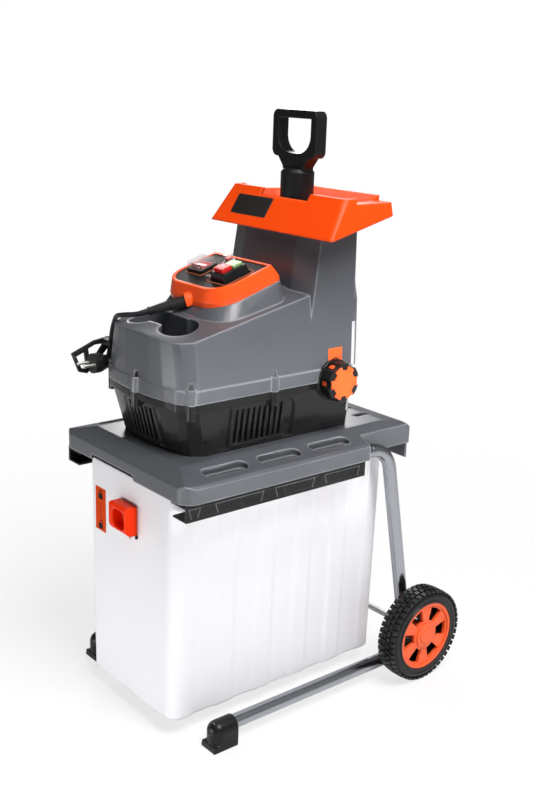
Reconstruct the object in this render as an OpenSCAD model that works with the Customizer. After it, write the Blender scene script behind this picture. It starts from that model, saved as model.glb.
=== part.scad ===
// Quiet garden shredder: roller cutting unit on a wheeled tube stand, with a slide-out collection bin.
// Millimetres, +Z up, +X to the knob side, front (bin and controls) towards -Y, floor at Z = 0.

/* [Wheels and axle] */
// Outer diameter of the tyres
wheel_d = 160; // [140:1:180]
// Width of the tyres
tyre_w = 37; // [30:1:44]
// Diameter of the rims where the tyres sit
rim_d = 116; // [104:1:124]
// Number of spokes in each rim
spoke_count = 6; // [5:1:8]
// Number of tread lugs round each tyre
tread_count = 30; // [20:1:40]
// Depth of the tread
tread_h = 3.5; // [2:0.5:5]
// Diameter of the wheel axle
axle_d = 10; // [8:0.5:12]
// Distance of the axle behind the middle of the machine
axle_y = 192; // [180:1:205]

/* [Frame tubes] */
// Outer diameter of the steel tubes
tube_d = 22; // [20:0.5:24]
// Wall of the steel tubes
tube_wall = 1.6; // [1:0.1:3]
// Bend radius at the middle of the tubes
bend_r = 45; // [35:1:55]
// Height of the tubes that run along the floor
leg_z = 31; // [28:1:38]
// How much further out each tube is at the floor than at the platform
frame_splay = 18; // [10:1:22]
// Where the tubes turn down behind the platform
frame_corner_y = 140; // [132:1:150]
// Length of the moulded feet
foot_l = 45; // [38:1:56]
// Width of the moulded feet
foot_w = 34; // [30:1:40]
// Front end of the feet
foot_y = -221; // [-235:1:-205]

/* [Platform] */
// Width over the side lips
deck_w = 331; // [324:1:345]
// Front edge of the platform
deck_front = -266; // [-272:1:-260]
// Length of the side lips
deck_side_l = 356; // [340:1:366]
// Length of the block behind the side lips
block_l = 113; // [100:1:125]
// Width of the block behind the side lips
block_w = 274; // [260:1:276]
// Height of the top of the platform above the floor
deck_z = 434; // [425:1:460]
// Height of the lip all round
lip_h = 26; // [22:1:30]
// Drop of the sloping shoulders from the top to the lip
shoulder_drop = 13; // [8:1:16]
// Depth of the block behind, from the top
block_h = 65; // [55:1:75]
// Wall of the platform moulding
deck_wall = 3.5; // [2.5:0.5:5]
// Radius of the platform's front corners
deck_corner_r = 24; // [14:1:32]

/* [Collection bin] */
// Gap from the platform's outer edge to the bin's side, each side
bin_gap = 44.5; // [42.5:0.5:52]
// Narrowing of the bin from mouth to floor, each side
bin_taper = 5; // [2:1:10]
// Front face of the bin
bin_front = -250; // [-252:1:-246]
// Length of the bin
bin_l = 418; // [390:1:425]
// Height of the bin's floor above the ground
bin_floor_z = 30; // [24:1:60]
// Wall of the bin
bin_wall = 2.5; // [2:0.5:4]
// Depth of the upright flutes in the long sides
flute_depth = 2.5; // [1:0.5:5]

/* [Bin lock] */
// Width of the red lock
lock_w = 46; // [40:1:56]
// Height of the red lock
lock_h = 46; // [42:1:56]
// How far the lock stands off the bin
lock_d = 22; // [18:1:26]
// Travel of the lock from locked (up) to free (down)
lock_travel = 18; // [12:1:22]

/* [Housing] */
// Width of the housing at the parting line
house_w = 217; // [210:1:226]
// Front of the housing at the parting line
house_front = -238; // [-244:1:-230]
// Rear of the housing
house_rear = 99; // [96:1:104]
// Height of the lower housing
lower_h = 83; // [78:1:92]
// Draw-in of the lower housing's sides at its foot
lower_draw = 11; // [6:1:16]
// Draw-in of the lower housing's front at its foot
front_draw = 21; // [10:1:30]
// Height of the flange band above the parting line
flange_h = 20; // [14:1:26]
// Height of the housing's front edge above the parting line
nose_h = 82; // [74:1:90]
// Slope of the housing's top, in degrees
top_slope = 12.5; // [10:0.5:15]
// Crown of the housing's top across its width
crown_h = 11; // [6:1:14]
// Height of the hopper column above the parting line
column_h = 248; // [240:1:258]
// Half width of the column at its top
column_top_x = 100; // [94:1:104]
// Wall of the housings
house_wall = 4; // [3:0.5:5]
// Depth of the storage bowl behind the front edge
bowl_depth = 34; // [20:1:38]
// Radius of the storage bowl's two lobes
bowl_r = 29; // [24:1:31]
// Number of vent slots in each side
side_slots = 9; // [5:1:10]
// Number of vent slots in the front
front_slots = 6; // [4:1:8]

/* [Hopper and pusher] */
// Width of the hopper's skirt
hopper_w = 290; // [276:1:304]
// Front of the hopper's skirt
hopper_front = -1; // [-8:1:4]
// Rear of the hopper
hopper_rear = 134; // [128:1:140]
// Height of the skirt's front
skirt_h = 58; // [50:1:66]
// Wall of the hopper
hopper_wall = 3; // [2.5:0.5:4]
// Width of the feed throat
throat_w = 112; // [96:1:120]
// Depth of the feed throat
throat_l = 56; // [50:1:60]
// Width of the pusher's D grip
grip_w = 100; // [86:1:112]
// Height of the pusher's D grip
grip_h = 76; // [68:1:84]
// Thickness of the pusher's D grip
grip_t = 21; // [16:1:26]
// Diameter of the pusher's round collar
collar_d = 52; // [46:1:56]

/* [Cutting unit] */
// Diameter of the cutting drum over its teeth
drum_d = 80; // [70:1:84]
// Number of teeth on the drum
drum_teeth = 8; // [6:1:10]
// Height of the drum's teeth
drum_tooth_h = 11; // [8:1:14]
// Sideways place of the drum's axis
drum_x = -12; // [-18:1:-8]
// Height of the drum's axis above the platform
drum_up = 71; // [66:1:76]
// Diameter of the drum's shaft
drum_shaft_d = 14; // [12:1:18]
// Gap between the drum and the counter plate as set
plate_gap = 2; // [1.5:0.1:4]
// Thickness of the counter plate
plate_t = 10; // [8:1:12]
// Diameter of the adjusting screw
screw_d = 12; // [10:1:14]
// Diameter of the adjusting knob
knob_d = 62; // [54:1:66]
// Depth of the adjusting knob
knob_t = 20; // [18:1:26]
// Height of the knob's axis above the platform
knob_up = 83; // [80:1:86]
// Place of the knob's axis along the machine
knob_y = 53; // [50:1:56]

/* [Drive] */
// Teeth of the motor pinion
pinion_teeth = 12; // [12:1:14]
// Teeth of the gear that the motor drives
first_gear_teeth = 40; // [38:1:42]
// Tooth size of the fast stage
fast_module = 1.5; // [1.4:0.1:1.6]
// Teeth of the intermediate pinion
second_pinion_teeth = 14; // [13:1:15]
// Teeth of the gear on the drum's shaft
output_teeth = 48; // [46:1:50]
// Tooth size of the slow stage
slow_module = 2; // [1.9:0.05:2.05]
// Diameter of the motor can
motor_d = 118; // [108:1:122]
// Length of the motor can
motor_l = 112; // [100:1:116]

/* [Controls] */
// Width of the orange bezel at its foot
ctl_w = 148; // [142:1:154]
// Length of the orange bezel at its foot
ctl_l = 124; // [118:1:130]
// Place of the control box along the machine
ctl_y = -88; // [-92:1:-84]
// Tilt of the control panel, in degrees
ctl_tilt = 18; // [15:0.5:20]
// Height of the pedestal under the bezel, over the housing's top
pedestal_h = 27; // [24:1:32]
// Height of the orange bezel
bezel_h = 26; // [22:1:30]
// Travel of the buttons
button_travel = 3; // [2:0.5:4]

/* [Lead] */
// Diameter of the power cord
cord_d = 7.5; // [6.5:0.5:8]
// Reach of the strain relief boot, sideways and forwards
boot_reach = 58; // [50:1:64]
// Drop of the strain relief boot along its length
boot_drop = 16; // [10:1:20]

/* [Fits] */
// Running fit of shafts in bores, on the radius
fit = 0.05; // [0.02:0.01:0.1]
// Clearance between pieces that move past each other
clear = 0.3; // [0.3:0.05:0.6]

/* [Hidden] */
$fn = 64;
eps = 0.01;

// Platform levels
lip_top = deck_z - shoulder_drop;
lip_bottom = lip_top - lip_h;
deck_side_end = deck_front + deck_side_l;
deck_rear = deck_side_end + block_l;
block_bottom = deck_z - block_h;
shoulder_x = 112;
shoulder_y = 30;
lip_bevel = 4;

// Frame tubes
tube_r = tube_d / 2;
tube_x = deck_w / 2 - deck_wall - tube_r - 1;
tube_top_z = lip_bottom + 8;
splay_a = atan(frame_splay / (tube_top_z - leg_z));
slant = 1 / cos(splay_a);
wheel_r = wheel_d / 2;
corner_drop = (tube_top_z - leg_z) * slant;
corner_y2 = frame_corner_y + (axle_y - frame_corner_y) * (tube_top_z - leg_z) / (tube_top_z - wheel_r);
leg_x = tube_x + frame_splay;
tube_front = deck_front + 42;
foot_bore_l = foot_l - 9;
leg_front = foot_y + foot_l - foot_bore_l + 0.5;
axle_tube_x = tube_x + frame_splay * (tube_top_z - wheel_r) / (tube_top_z - leg_z);

// Wheels
axle_r = axle_d / 2;
spacer_in = axle_tube_x + tube_r + 1.2;
spacer_t = 4;
wheel_in = spacer_in + spacer_t + clear;
wheel_out = wheel_in + tyre_w;
rim_r = rim_d / 2;
hub_r = 17;
hub_pocket = 12;
clip_t = 3;
axle_end = wheel_out - hub_pocket + clip_t + 2;

// Bin rails, tied to the lip and the tube that they clamp
bin_w = deck_w - 2 * bin_gap;
rail_t = 3;
rail_out = deck_w / 2 - deck_wall - 2;
rail_top = tube_top_z - tube_r - clear;
rail_drop = 26;
rail_bottom = lip_bottom - rail_drop;
rail_front = deck_front + 6;
rail_l = deck_side_l - 14;
ledge_in = bin_w / 2 + 7;
bolt_x = tube_x - tube_r - 9;
saddle_w = 24;
saddle_ys = [deck_front + 70, deck_side_end - 40];
bolt_r = 3;

// Bin
bin_rear = bin_front + bin_l;
bin_mid = (bin_front + bin_rear) / 2;
bin_top = lip_bottom - 6;
bin_flange_z = rail_bottom + rail_t + clear;
bin_flange_t = 4;
bin_flange_x = rail_out - rail_t - 3;
bin_corner = 22;
flute_n = 5;

// Bin lock: at rest it is up, as photographed
lock_gap = clear;
lock_back = bin_front - lock_gap;
lock_front = bin_front - lock_d;
lock_top = bin_top - 42;
lock_bottom = lock_top - lock_h;
tongue_w = 18;
tongue_t = 4;
shank_w = 10;
shank_h = 30;
plunger_r = 3;
plunger_y = bin_front + bin_wall + clear + tongue_t / 2;
notch_h = 8;
notch_x0 = -80;
notch_x1 = 36;
tongue_top = lip_bottom - 1;

// Housing levels
parting_z = deck_z + lower_h;
nose_z = parting_z + nose_h;
column_z = parting_z + column_h;
house_x = house_w / 2;
foot_x = house_x - lower_draw;
foot_front = house_front + front_draw;
band_h = 12;
post_r = 7;
post_h = 23;
corner_cut = 22;
corner_in = 17;
nose_bow = 10;
nose_lean = 0.85;
post_spots = [
    [0, house_front], [house_x - 6, house_front + 25], [6 - house_x, house_front + 25],
    [house_x, house_front + 172], [-house_x, house_front + 172], [70, house_rear], [-70, house_rear]
];
crease_h = 50;
ridge_in = 12;
crease_in = 4;
ridge_y = house_front + 12;
top_rise = tan(top_slope);
column_front_top = hopper_front + 22;
column_front_neck = hopper_front + 9.5;
column_front_foot = column_front_neck - 25;
column_cut_x = 40;
column_cut_y = 14;
column_foot_z = parting_z + nose_h * 0.52;

// Feed path, shared by the cutter frame, chute, hopper neck and pusher
chute_wall = 3;
unit_floor = deck_z + house_wall;
unit_gap = 3;
unit_rear = house_rear - house_wall - unit_gap;
unit_wall = 7;
unit_front = unit_rear - 2 * unit_wall - throat_l;
unit_h = 126;
unit_top = deck_z + unit_h;
unit_left = drum_x - drum_d / 2 - 10;
unit_right = throat_w / 2 + 8;
throat_front = unit_front + unit_wall;
throat_mid = throat_front + throat_l / 2;
neck_wall = 3;
hopper_z = column_z;
neck_l = 24;
chute_top = hopper_z - neck_l;

// Cutting unit
drum_z = deck_z + drum_up;
drum_r = drum_d / 2;
drum_l = throat_l - 3;
shaft_r = drum_shaft_d / 2;
bearing_r = shaft_r + 8;
knob_z = deck_z + knob_up;
plate_x = drum_x + drum_r + plate_gap;
plate_h = 74;
plate_z0 = knob_z - 50;
plate_boss_r = screw_d / 2 + 5;
plate_boss_l = 13;
screw_r = screw_d / 2;
boss_r = 33;
boss_face = house_x + 3;
knob_r = knob_d / 2;
screw_tip = plate_x + plate_t - 3;

// Gear train: drum shaft, intermediate shaft and motor shaft, all along Y
fast_a = fast_module * (pinion_teeth + first_gear_teeth) / 2;
slow_a = slow_module * (second_pinion_teeth + output_teeth) / 2;
lay_a = -26;
motor_a = 147;
lay_x = drum_x + slow_a * cos(lay_a);
lay_z = drum_z + slow_a * sin(lay_a);
motor_x = lay_x + fast_a * cos(motor_a);
motor_z = lay_z + fast_a * sin(motor_a);
case_rear = unit_front;
case_wall = 5;
gear_w = 14;
case_l = 2 * case_wall + 2 * gear_w + 10;
case_front = case_rear - case_l;
cover_t = 6;
slow_y = case_rear - case_wall - 2 - gear_w;
fast_y = slow_y - 3 - gear_w;
case_left = drum_x - slow_module * (output_teeth / 2 + 1) - 9;
case_right = lay_x + fast_module * (first_gear_teeth / 2 + 1) + 9;
case_bottom = unit_floor;
case_top = drum_z + slow_module * (output_teeth / 2 + 1) + 9;
lay_r = 6;
motor_shaft_r = 6;
motor_r = motor_d / 2;
motor_rear = case_front - cover_t;
motor_front = motor_rear - motor_l;
can_wall = 3;
foot_half = 30;
foot_inset = 20;
stator_inset = 22;
// Capacitor beside the motor can, on a half-millimetre grid
cap_r = 16;
cap_h = 70;
cap_lid = 4;
cap_gap = 5.5;
cap_back = 128;
cap_x = round(2 * (motor_x - motor_r - cap_r - cap_gap)) / 2;
rotor_r = 30;
stator_in = rotor_r + 0.6;

// Controls: a tilted frame with its origin in the bezel's foot
ctl_z = nose_z + (ctl_y - ridge_y) * top_rise + pedestal_h;
ctl_r_front = 46;
ctl_r_rear = 10;
bezel_in_x = 4;
bezel_in_y = 10;
bezel_rim = 5;
panel_t = 3;
panel_z = bezel_h - panel_t - 1;
top_z = panel_z + panel_t;
panel_in_x = bezel_in_x + bezel_rim;
panel_in_y = bezel_in_y + bezel_rim;
box_x = 35;
box_y = -1;
box_w = 40;
box_l = 48;
box_h = 13;
stop_y = box_y - 10;
start_y = box_y + 10;
button_w = 22;
button_l = 18;
rocker_x = -34;
rocker_y = 0;
rocker_w = 36;
rocker_l = 34;
reset_x = -12;
reset_y = 35;
reset_r = 5;

// Lead: boot out of the bezel's front, cord over the left shoulder to the plug
boot_turn = -31;
boot_root = [0, ctl_y - 59, ctl_z - 15];
boot_tip = boot_root + [boot_reach * sin(boot_turn), -boot_reach * cos(boot_turn), -boot_drop];
boot_big_r = 9;
cord_r = cord_d / 2;
cord_sides = 10;
cord_route = [
    boot_tip, boot_tip + (boot_tip - boot_root) / 6, [-45, -213, 620], [-57, -217, 618], [-70, -218, 615],
    [-82, -216, 612], [-93, -213, 607], [-102, -210, 599], [-110, -208, 588], [-116, -206, 578],
    [-120, -205, 567], [-122, -205, 558], [-122, -205, 552]
];
cord_end = cord_route[len(cord_route) - 1];
plug_r = 15;
plug_z = cord_end[2] - 20;
hook_x = cord_end[0] - plug_r - 3;
hook_t = 5;

// Rounded rectangle in the plane, centred, made of true arcs
module round_rect(w, l, r) {
    square([w - 2 * r, l], center = true);
    square([w, l - 2 * r], center = true);
    for (x = [-1, 1], y = [-1, 1])
        translate([x * (w / 2 - r), y * (l / 2 - r)]) circle(r);
}

// Rectangle with its two front corners (towards -Y) cut off and its rear corners rounded
module cut_corner_rect(half_w, front, rear, cut_x, cut_y, r) {
    polygon([
        [cut_x - half_w, front], [half_w - cut_x, front], [half_w, front + cut_y], [half_w, rear - r],
        [half_w - r, rear], [r - half_w, rear], [-half_w, rear - r], [-half_w, front + cut_y]
    ]);
}

// Slab between two heights
module slab(z0, z1) {
    translate([0, 0, z0]) linear_extrude(z1 - z0) children();
}

// Cylinder along Y
module along_y(y0, y1, r) {
    translate([0, y0, 0]) rotate([-90, 0, 0]) cylinder(h = y1 - y0, r = r);
}

// Cylinder along X
module along_x(x0, x1, r) {
    translate([x0, 0, 0]) rotate([0, 90, 0]) cylinder(h = x1 - x0, r = r);
}

// Box from corner to corner
module box(a, b) {
    translate(a) cube(b - a);
}

module mirrored(side) {
    if (side > 0) children();
    else mirror([1, 0, 0]) children();
}

// Platform

module deck_plan(inset) {
    x0 = deck_w / 2 - inset;
    y0 = deck_front + inset;
    y1 = deck_side_end - inset;
    r = deck_corner_r - inset;
    translate([0, (y0 + y1) / 2]) round_rect(2 * x0, y1 - y0, r);
    translate([-x0, (y0 + y1) / 2]) square([2 * x0, (y1 - y0) / 2 - 4]);
    translate([inset - block_w / 2, y1 - 40]) square([block_w - 2 * inset, deck_rear - inset - y1 + 40]);
}

module deck_section(inset) {
    x0 = deck_w / 2 - inset;
    top = deck_z - inset;
    polygon([
        [-x0, block_bottom - inset * 2], [x0, block_bottom - inset * 2], [x0, lip_top - lip_bevel - inset],
        [x0 - lip_bevel, lip_top - inset], [shoulder_x, top], [-shoulder_x, top],
        [lip_bevel - x0, lip_top - inset], [-x0, lip_top - lip_bevel - inset]
    ]);
}

module deck_profile(inset) {
    y0 = deck_front + inset;
    y1 = deck_rear - inset;
    top = deck_z - inset;
    polygon([
        [y0, block_bottom - inset * 2], [y1, block_bottom - inset * 2], [y1, top - 12], [y1 - 8, top - 4],
        [y1 - 40, top], [deck_front + shoulder_y, top], [y0 + lip_bevel, lip_top - inset],
        [y0, lip_top - lip_bevel - inset]
    ]);
}

module deck_solid(inset) {
    intersection() {
        slab(block_bottom - inset, deck_z) deck_plan(inset);
        translate([0, deck_rear, 0]) rotate([90, 0, 0])
            linear_extrude(deck_rear - deck_front) deck_section(inset);
        translate([-deck_w / 2, 0, 0]) rotate([90, 0, 90]) linear_extrude(deck_w) deck_profile(inset);
    }
}

// Pocket in the side shoulder, a slot with round ends
pocket_l = 78;
pocket_w = 22;
pocket_first = 88;
pocket_pitch = 100;
pocket_z = tube_top_z + tube_r + 4;
pocket_ys = [for (i = [0:2]) deck_front + pocket_first + i * pocket_pitch];
pocket_x = shoulder_x + 27;

module pocket_slot(w, l, z0, z1) {
    slab(z0, z1) round_rect(w, l, w / 2 - 1);
}

module platform() {
    color("dimgray") difference() {
        union() {
            difference() {
                deck_solid(0);
                deck_solid(deck_wall);
                // the side lips end higher than the block behind them
                box([-deck_w, deck_front - 1, block_bottom - 1], [deck_w, deck_side_end - 30, lip_bottom]);
                for (side = [-1, 1]) mirrored(side)
                    box([block_w / 2 - deck_wall, deck_side_end - 31, block_bottom - 1],
                        [deck_w, deck_rear, lip_bottom]);
            }
            // saddles that carry the frame tubes
            for (side = [-1, 1], y = saddle_ys) mirrored(side)
                intersection() {
                    box([bolt_x - 8, y, tube_top_z], [deck_w / 2 - 1, y + saddle_w, deck_z]);
                    deck_solid(1);
                }
            // pocket walls
            for (side = [-1, 1], y = pocket_ys) mirrored(side)
                intersection() {
                    translate([pocket_x, y, 0])
                        pocket_slot(pocket_w + 5, pocket_l + 5, pocket_z - 2.5, deck_z);
                    deck_solid(1);
                }
            // the switch's seat behind the front lip
            intersection() {
                box([-16, deck_front + 1, switch_top], [16, plunger_y + 12, deck_z]);
                deck_solid(1);
            }
        }
        for (side = [-1, 1]) mirrored(side) {
            translate([tube_x, 0, tube_top_z]) along_y(tube_front - 1, deck_side_end + 1, tube_r + fit);
            // way out of the lip for the tube
            box([tube_x - tube_r - 1, deck_side_end - deck_wall - 1, lip_bottom - 1],
                [tube_x + tube_r + 0.6, deck_side_end + 1, tube_top_z + tube_r + 1]);
            for (y = pocket_ys)
                translate([pocket_x, y, 0]) pocket_slot(pocket_w, pocket_l, pocket_z, deck_z + 1);
            for (y = saddle_ys)
                translate([bolt_x, y + saddle_w / 2, tube_top_z - 1]) cylinder(h = 15, r = bolt_r + fit);
        }
        // raised middle of the front lip, over the bin lock
        box([notch_x0, deck_front - 1, lip_bottom - 1],
            [notch_x1, deck_front + deck_wall + 1, lip_bottom + notch_h]);
        // outlet under the cutting unit
        box([unit_left + 6, throat_front, deck_z - 10],
            [unit_right - 6, throat_front + throat_l, deck_z + 1]);
        // slots in the rear deck
        for (x = [-70, -28, 28, 70])
            translate([x, deck_rear - 46, 0]) slab(deck_z - 8, deck_z + 1) round_rect(13, 34, 3);
    }
}

module rail(side) {
    // channel section that clamps the tube and carries the bin's flange
    module section() {
        difference() {
            translate([ledge_in, rail_bottom]) square([rail_out - ledge_in, rail_top - rail_bottom]);
            translate([ledge_in - 1, rail_bottom + rail_t])
                square([rail_out - rail_t - ledge_in + 1, rail_top - rail_bottom - 2 * rail_t]);
        }
        translate([bolt_x - 7, rail_top - rail_t]) square([rail_out - bolt_x + 7, rail_t]);
        translate([rail_out - rail_t, rail_bottom]) square([rail_t, lip_bottom - 1 - rail_bottom]);
    }
    panel_l = (rail_l - 40) / 4;
    color([0.1, 0.1, 0.1]) mirrored(side) difference() {
        translate([0, rail_front + rail_l, 0]) rotate([90, 0, 0]) linear_extrude(rail_l) section();
        // framed panels in the outer face
        for (i = [0:3]) {
            y = rail_front + 16 + i * (panel_l + 4);
            translate([rail_out - 1, y, rail_bottom + 5]) rotate([90, 0, 90]) linear_extrude(2)
                polygon([[4, 0], [panel_l - 8, 0], [panel_l - 4, 14], [0, 14]]);
        }
        for (y = saddle_ys)
            translate([bolt_x, y + saddle_w / 2, rail_top - rail_t - 1])
                cylinder(h = rail_t + 2, r = bolt_r + fit);
    }
}

module frame_bolts() {
    color("silver") for (side = [-1, 1], y = saddle_ys) mirrored(side)
        translate([bolt_x, y + saddle_w / 2, 0]) {
            translate([0, 0, rail_top - rail_t - 4]) cylinder(h = 4, r = 5, $fn = 6);
            translate([0, 0, rail_top - rail_t - 1])
                cylinder(h = tube_top_z + 13 - rail_top + rail_t, r = bolt_r);
        }
}

// Stand

// Bent bar in the XY plane: top run, slanting upright and floor run,
// with a hair-thin ring where each bend ends
module bent_bar(r, over) {
    a = [frame_corner_y, 0];
    b = [corner_y2, -corner_drop];
    dir = (b - a) / norm(b - a);
    turn_a = acos(dir[0]);
    turn_b = 180 - turn_a;
    cut_a = bend_r * tan(turn_a / 2);
    cut_b = bend_r * tan(turn_b / 2);
    ring_l = 2;
    // straight run from p to q; bends lists the ends (0, 1) at which a bend meets it
    module run(p, q, bends) {
        d = q - p;
        translate([p[0], p[1], 0]) rotate([0, 0, atan2(d[1], d[0])]) rotate([0, 90, 0]) {
            cylinder(h = norm(d), r = r);
            for (at = bends)
                translate([0, 0, at * norm(d) - ring_l / 2]) cylinder(h = ring_l, r = r + 0.1);
        }
    }
    run([tube_front - over, 0], a - [cut_a, 0], [1]);
    translate([a[0] - cut_a, -bend_r, 0]) rotate([0, 0, 90 - turn_a])
        rotate_extrude(angle = turn_a) translate([bend_r, 0]) circle(r);
    run(a + dir * cut_a, b - dir * cut_b, [0, 1]);
    translate([b[0] - cut_b, b[1] + bend_r, 0]) rotate([0, 0, -90])
        rotate_extrude(angle = turn_b) translate([bend_r, 0]) circle(r);
    run(b - [cut_b, 0], [leg_front - over, b[1]], [0]);
}

module frame_tube(side) {
    color("silver") mirrored(side) difference() {
        translate([tube_x, 0, tube_top_z]) rotate([0, -splay_a, 0]) rotate([90, 0, 90]) difference() {
            bent_bar(tube_r, 0);
            bent_bar(tube_r - tube_wall, 2);
        }
        translate([0, axle_y, wheel_r]) along_x(0, wheel_out, axle_r + fit);
    }
}

module foot(side) {
    foot_h = leg_z + tube_r + 2;
    color([0.09, 0.09, 0.09]) mirrored(side) difference() {
        translate([leg_x - foot_w / 2, 0, 0]) rotate([90, 0, 90]) linear_extrude(foot_w)
            polygon([
                [foot_y, 0], [foot_y + foot_l, 0],
                [foot_y + foot_l, foot_h - 4], [foot_y + foot_l - 4, foot_h],
                [foot_y + 9, foot_h], [foot_y, foot_h - 12]
            ]);
        translate([leg_x, 0, leg_z])
            along_y(foot_y + foot_l - foot_bore_l, foot_y + foot_l + 1, tube_r + fit);
        // drawn-in upper edges
        for (s = [-1, 1])
            translate([leg_x + s * foot_w / 2, foot_y - 1, foot_h]) rotate([0, 45, 0])
                translate([-4, 0, -4]) cube([8, foot_l + 2, 8]);
    }
}

module wheel_axle() {
    color("silver") translate([0, axle_y, wheel_r]) along_x(-axle_end, axle_end, axle_r);
}

module axle_spacers() {
    color([0.12, 0.12, 0.12]) for (side = [-1, 1]) mirrored(side)
        translate([0, axle_y, wheel_r]) difference() {
            along_x(spacer_in, spacer_in + spacer_t, 9);
            along_x(spacer_in - 1, spacer_in + spacer_t + 1, axle_r + fit);
        }
}

module axle_clips() {
    x0 = axle_end - 2 - clip_t;
    color("silver") for (side = [-1, 1]) mirrored(side)
        translate([0, axle_y, wheel_r]) difference() {
            along_x(x0 + clear, x0 + clip_t, 9);
            along_x(x0 - 1, x0 + clip_t + 1, axle_r + fit);
        }
}

// A wheel piece is drawn about Z, with Z = 0 at the wheel's inner face
module on_wheel(side) {
    mirrored(side) translate([wheel_in, axle_y, wheel_r]) rotate([0, 90, 0]) children();
}

module lug_ring(z0, h, turn) {
    step = 360 / tread_count;
    // the lugs grow out of the carcass from just under its surface
    base = wheel_r - tread_h - 1;
    translate([0, 0, z0]) rotate(turn) linear_extrude(h)
        polygon([for (i = [0:tread_count - 1], k = [0:3])
            let(a = (i + [0.08, 0.2, 0.62, 0.74][k]) * step, r = [base, wheel_r, wheel_r, base][k])
            [r * cos(a), r * sin(a)]]);
}

module tyre(side) {
    shoulder = 5;
    base = wheel_r - tread_h;
    half = tyre_w / 2;
    color([0.08, 0.08, 0.08]) on_wheel(side) difference() {
        union() {
            rotate_extrude() polygon([
                [rim_r + fit, 0], [base - 2 * shoulder, 0], [base, shoulder], [base, tyre_w - shoulder],
                [base - 2 * shoulder, tyre_w], [rim_r + fit, tyre_w]
            ]);
            lug_ring(shoulder - 2, half - shoulder, 0);
            lug_ring(half + 2, half - shoulder, 180 / tread_count);
        }
        translate([0, 0, -1]) cylinder(h = tyre_w + 2, r = rim_r + fit);
        // stepped sidewall
        for (z = [-1, tyre_w - 1.5])
            translate([0, 0, z]) difference() {
                cylinder(h = 2.5, r = base - 9);
                translate([0, 0, -1]) cylinder(h = 5, r = rim_r + 4);
            }
    }
}

module rim(side) {
    face = tyre_w - 1;
    web_t = 9;
    window_in = hub_r + 9;
    window_out = rim_r - 9;
    step = 360 / spoke_count;
    color("orangered") on_wheel(side) difference() {
        union() {
            difference() {
                cylinder(h = face, r = rim_r);
                translate([0, 0, -1]) cylinder(h = face - web_t + 1, r = rim_r - 5);
                translate([0, 0, face - 3]) difference() {
                    cylinder(h = 4, r = rim_r - 5);
                    translate([0, 0, -1]) cylinder(h = 6, r = hub_r + 4);
                }
                // windows between the spokes
                for (i = [0:spoke_count - 1])
                    rotate(i * step + step / 2) translate([0, 0, face - web_t - 1]) linear_extrude(web_t + 2)
                        intersection() {
                            difference() {
                                circle(window_out);
                                circle(window_in);
                            }
                            polygon([[0, 0], for (s = [-1, 1])
                                2 * rim_r * [cos(s * step * 0.27), sin(s * step * 0.27)]]);
                        }
            }
            cylinder(h = face, r = hub_r);
        }
        translate([0, 0, -1]) cylinder(h = tyre_w + 2, r = axle_r + fit);
        translate([0, 0, tyre_w - hub_pocket]) cylinder(h = hub_pocket + 1, r = 11);
    }
}

module hub_cap(side) {
    color("orangered") on_wheel(side) {
        translate([0, 0, tyre_w - 2]) cylinder(h = 2, r = 11 - fit);
        translate([0, 0, tyre_w - 1]) cylinder(h = 2, r1 = 15, r2 = 12);
    }
}

// Bin

// Outline of the bin at its mouth: round corners, shallow upright flutes along the sides
module bin_outline(inset) {
    x = bin_w / 2 - inset;
    l = bin_l - 2 * inset;
    pitch = (bin_l - 2 * bin_corner) / flute_n;
    difference() {
        round_rect(2 * x, l, bin_corner - inset);
        for (s = [-1, 1], i = [0:flute_n - 1])
            translate([s * x, (i + 0.5 - flute_n / 2) * pitch]) polygon([
                [s, 0.38 * pitch], [-s * flute_depth, 0.22 * pitch], [-s * flute_depth, -0.22 * pitch],
                [s, -0.38 * pitch]
            ]);
    }
}

module bin() {
    h = bin_top - bin_floor_z;
    taper_a = atan(bin_taper / h);
    // each long side leans in towards the floor; the two halves overlap along the middle
    module tub(inset, z0) {
        for (s = [-1, 1]) mirrored(s) intersection() {
            translate([0, bin_mid, bin_top]) rotate([0, taper_a, 0]) translate([0, 0, -h - 10])
                linear_extrude(h + 20) intersection() {
                    bin_outline(inset);
                    translate([-8, -bin_l]) square([bin_w, 2 * bin_l]);
                }
            box([-bin_w, bin_front - 1, z0], [bin_w, bin_rear + 1, bin_top]);
        }
    }
    color([0.93, 0.93, 0.95]) difference() {
        union() {
            tub(0, bin_floor_z);
            // sliding flanges
            for (s = [-1, 1]) mirrored(s)
                box([bin_w / 2 - 12, bin_front + 26, bin_flange_z],
                    [bin_flange_x, rail_front + rail_l, bin_flange_z + bin_flange_t]);
        }
        translate([0, 0, eps]) tub(bin_wall, bin_floor_z + bin_wall);
        // guide slot for the lock's shank
        box([-shank_w / 2 - clear, bin_front - 1, lock_bottom + 8 - lock_travel - clear],
            [shank_w / 2 + clear, bin_front + bin_wall + 1, lock_bottom + 8 + shank_h + clear]);
    }
}

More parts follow.
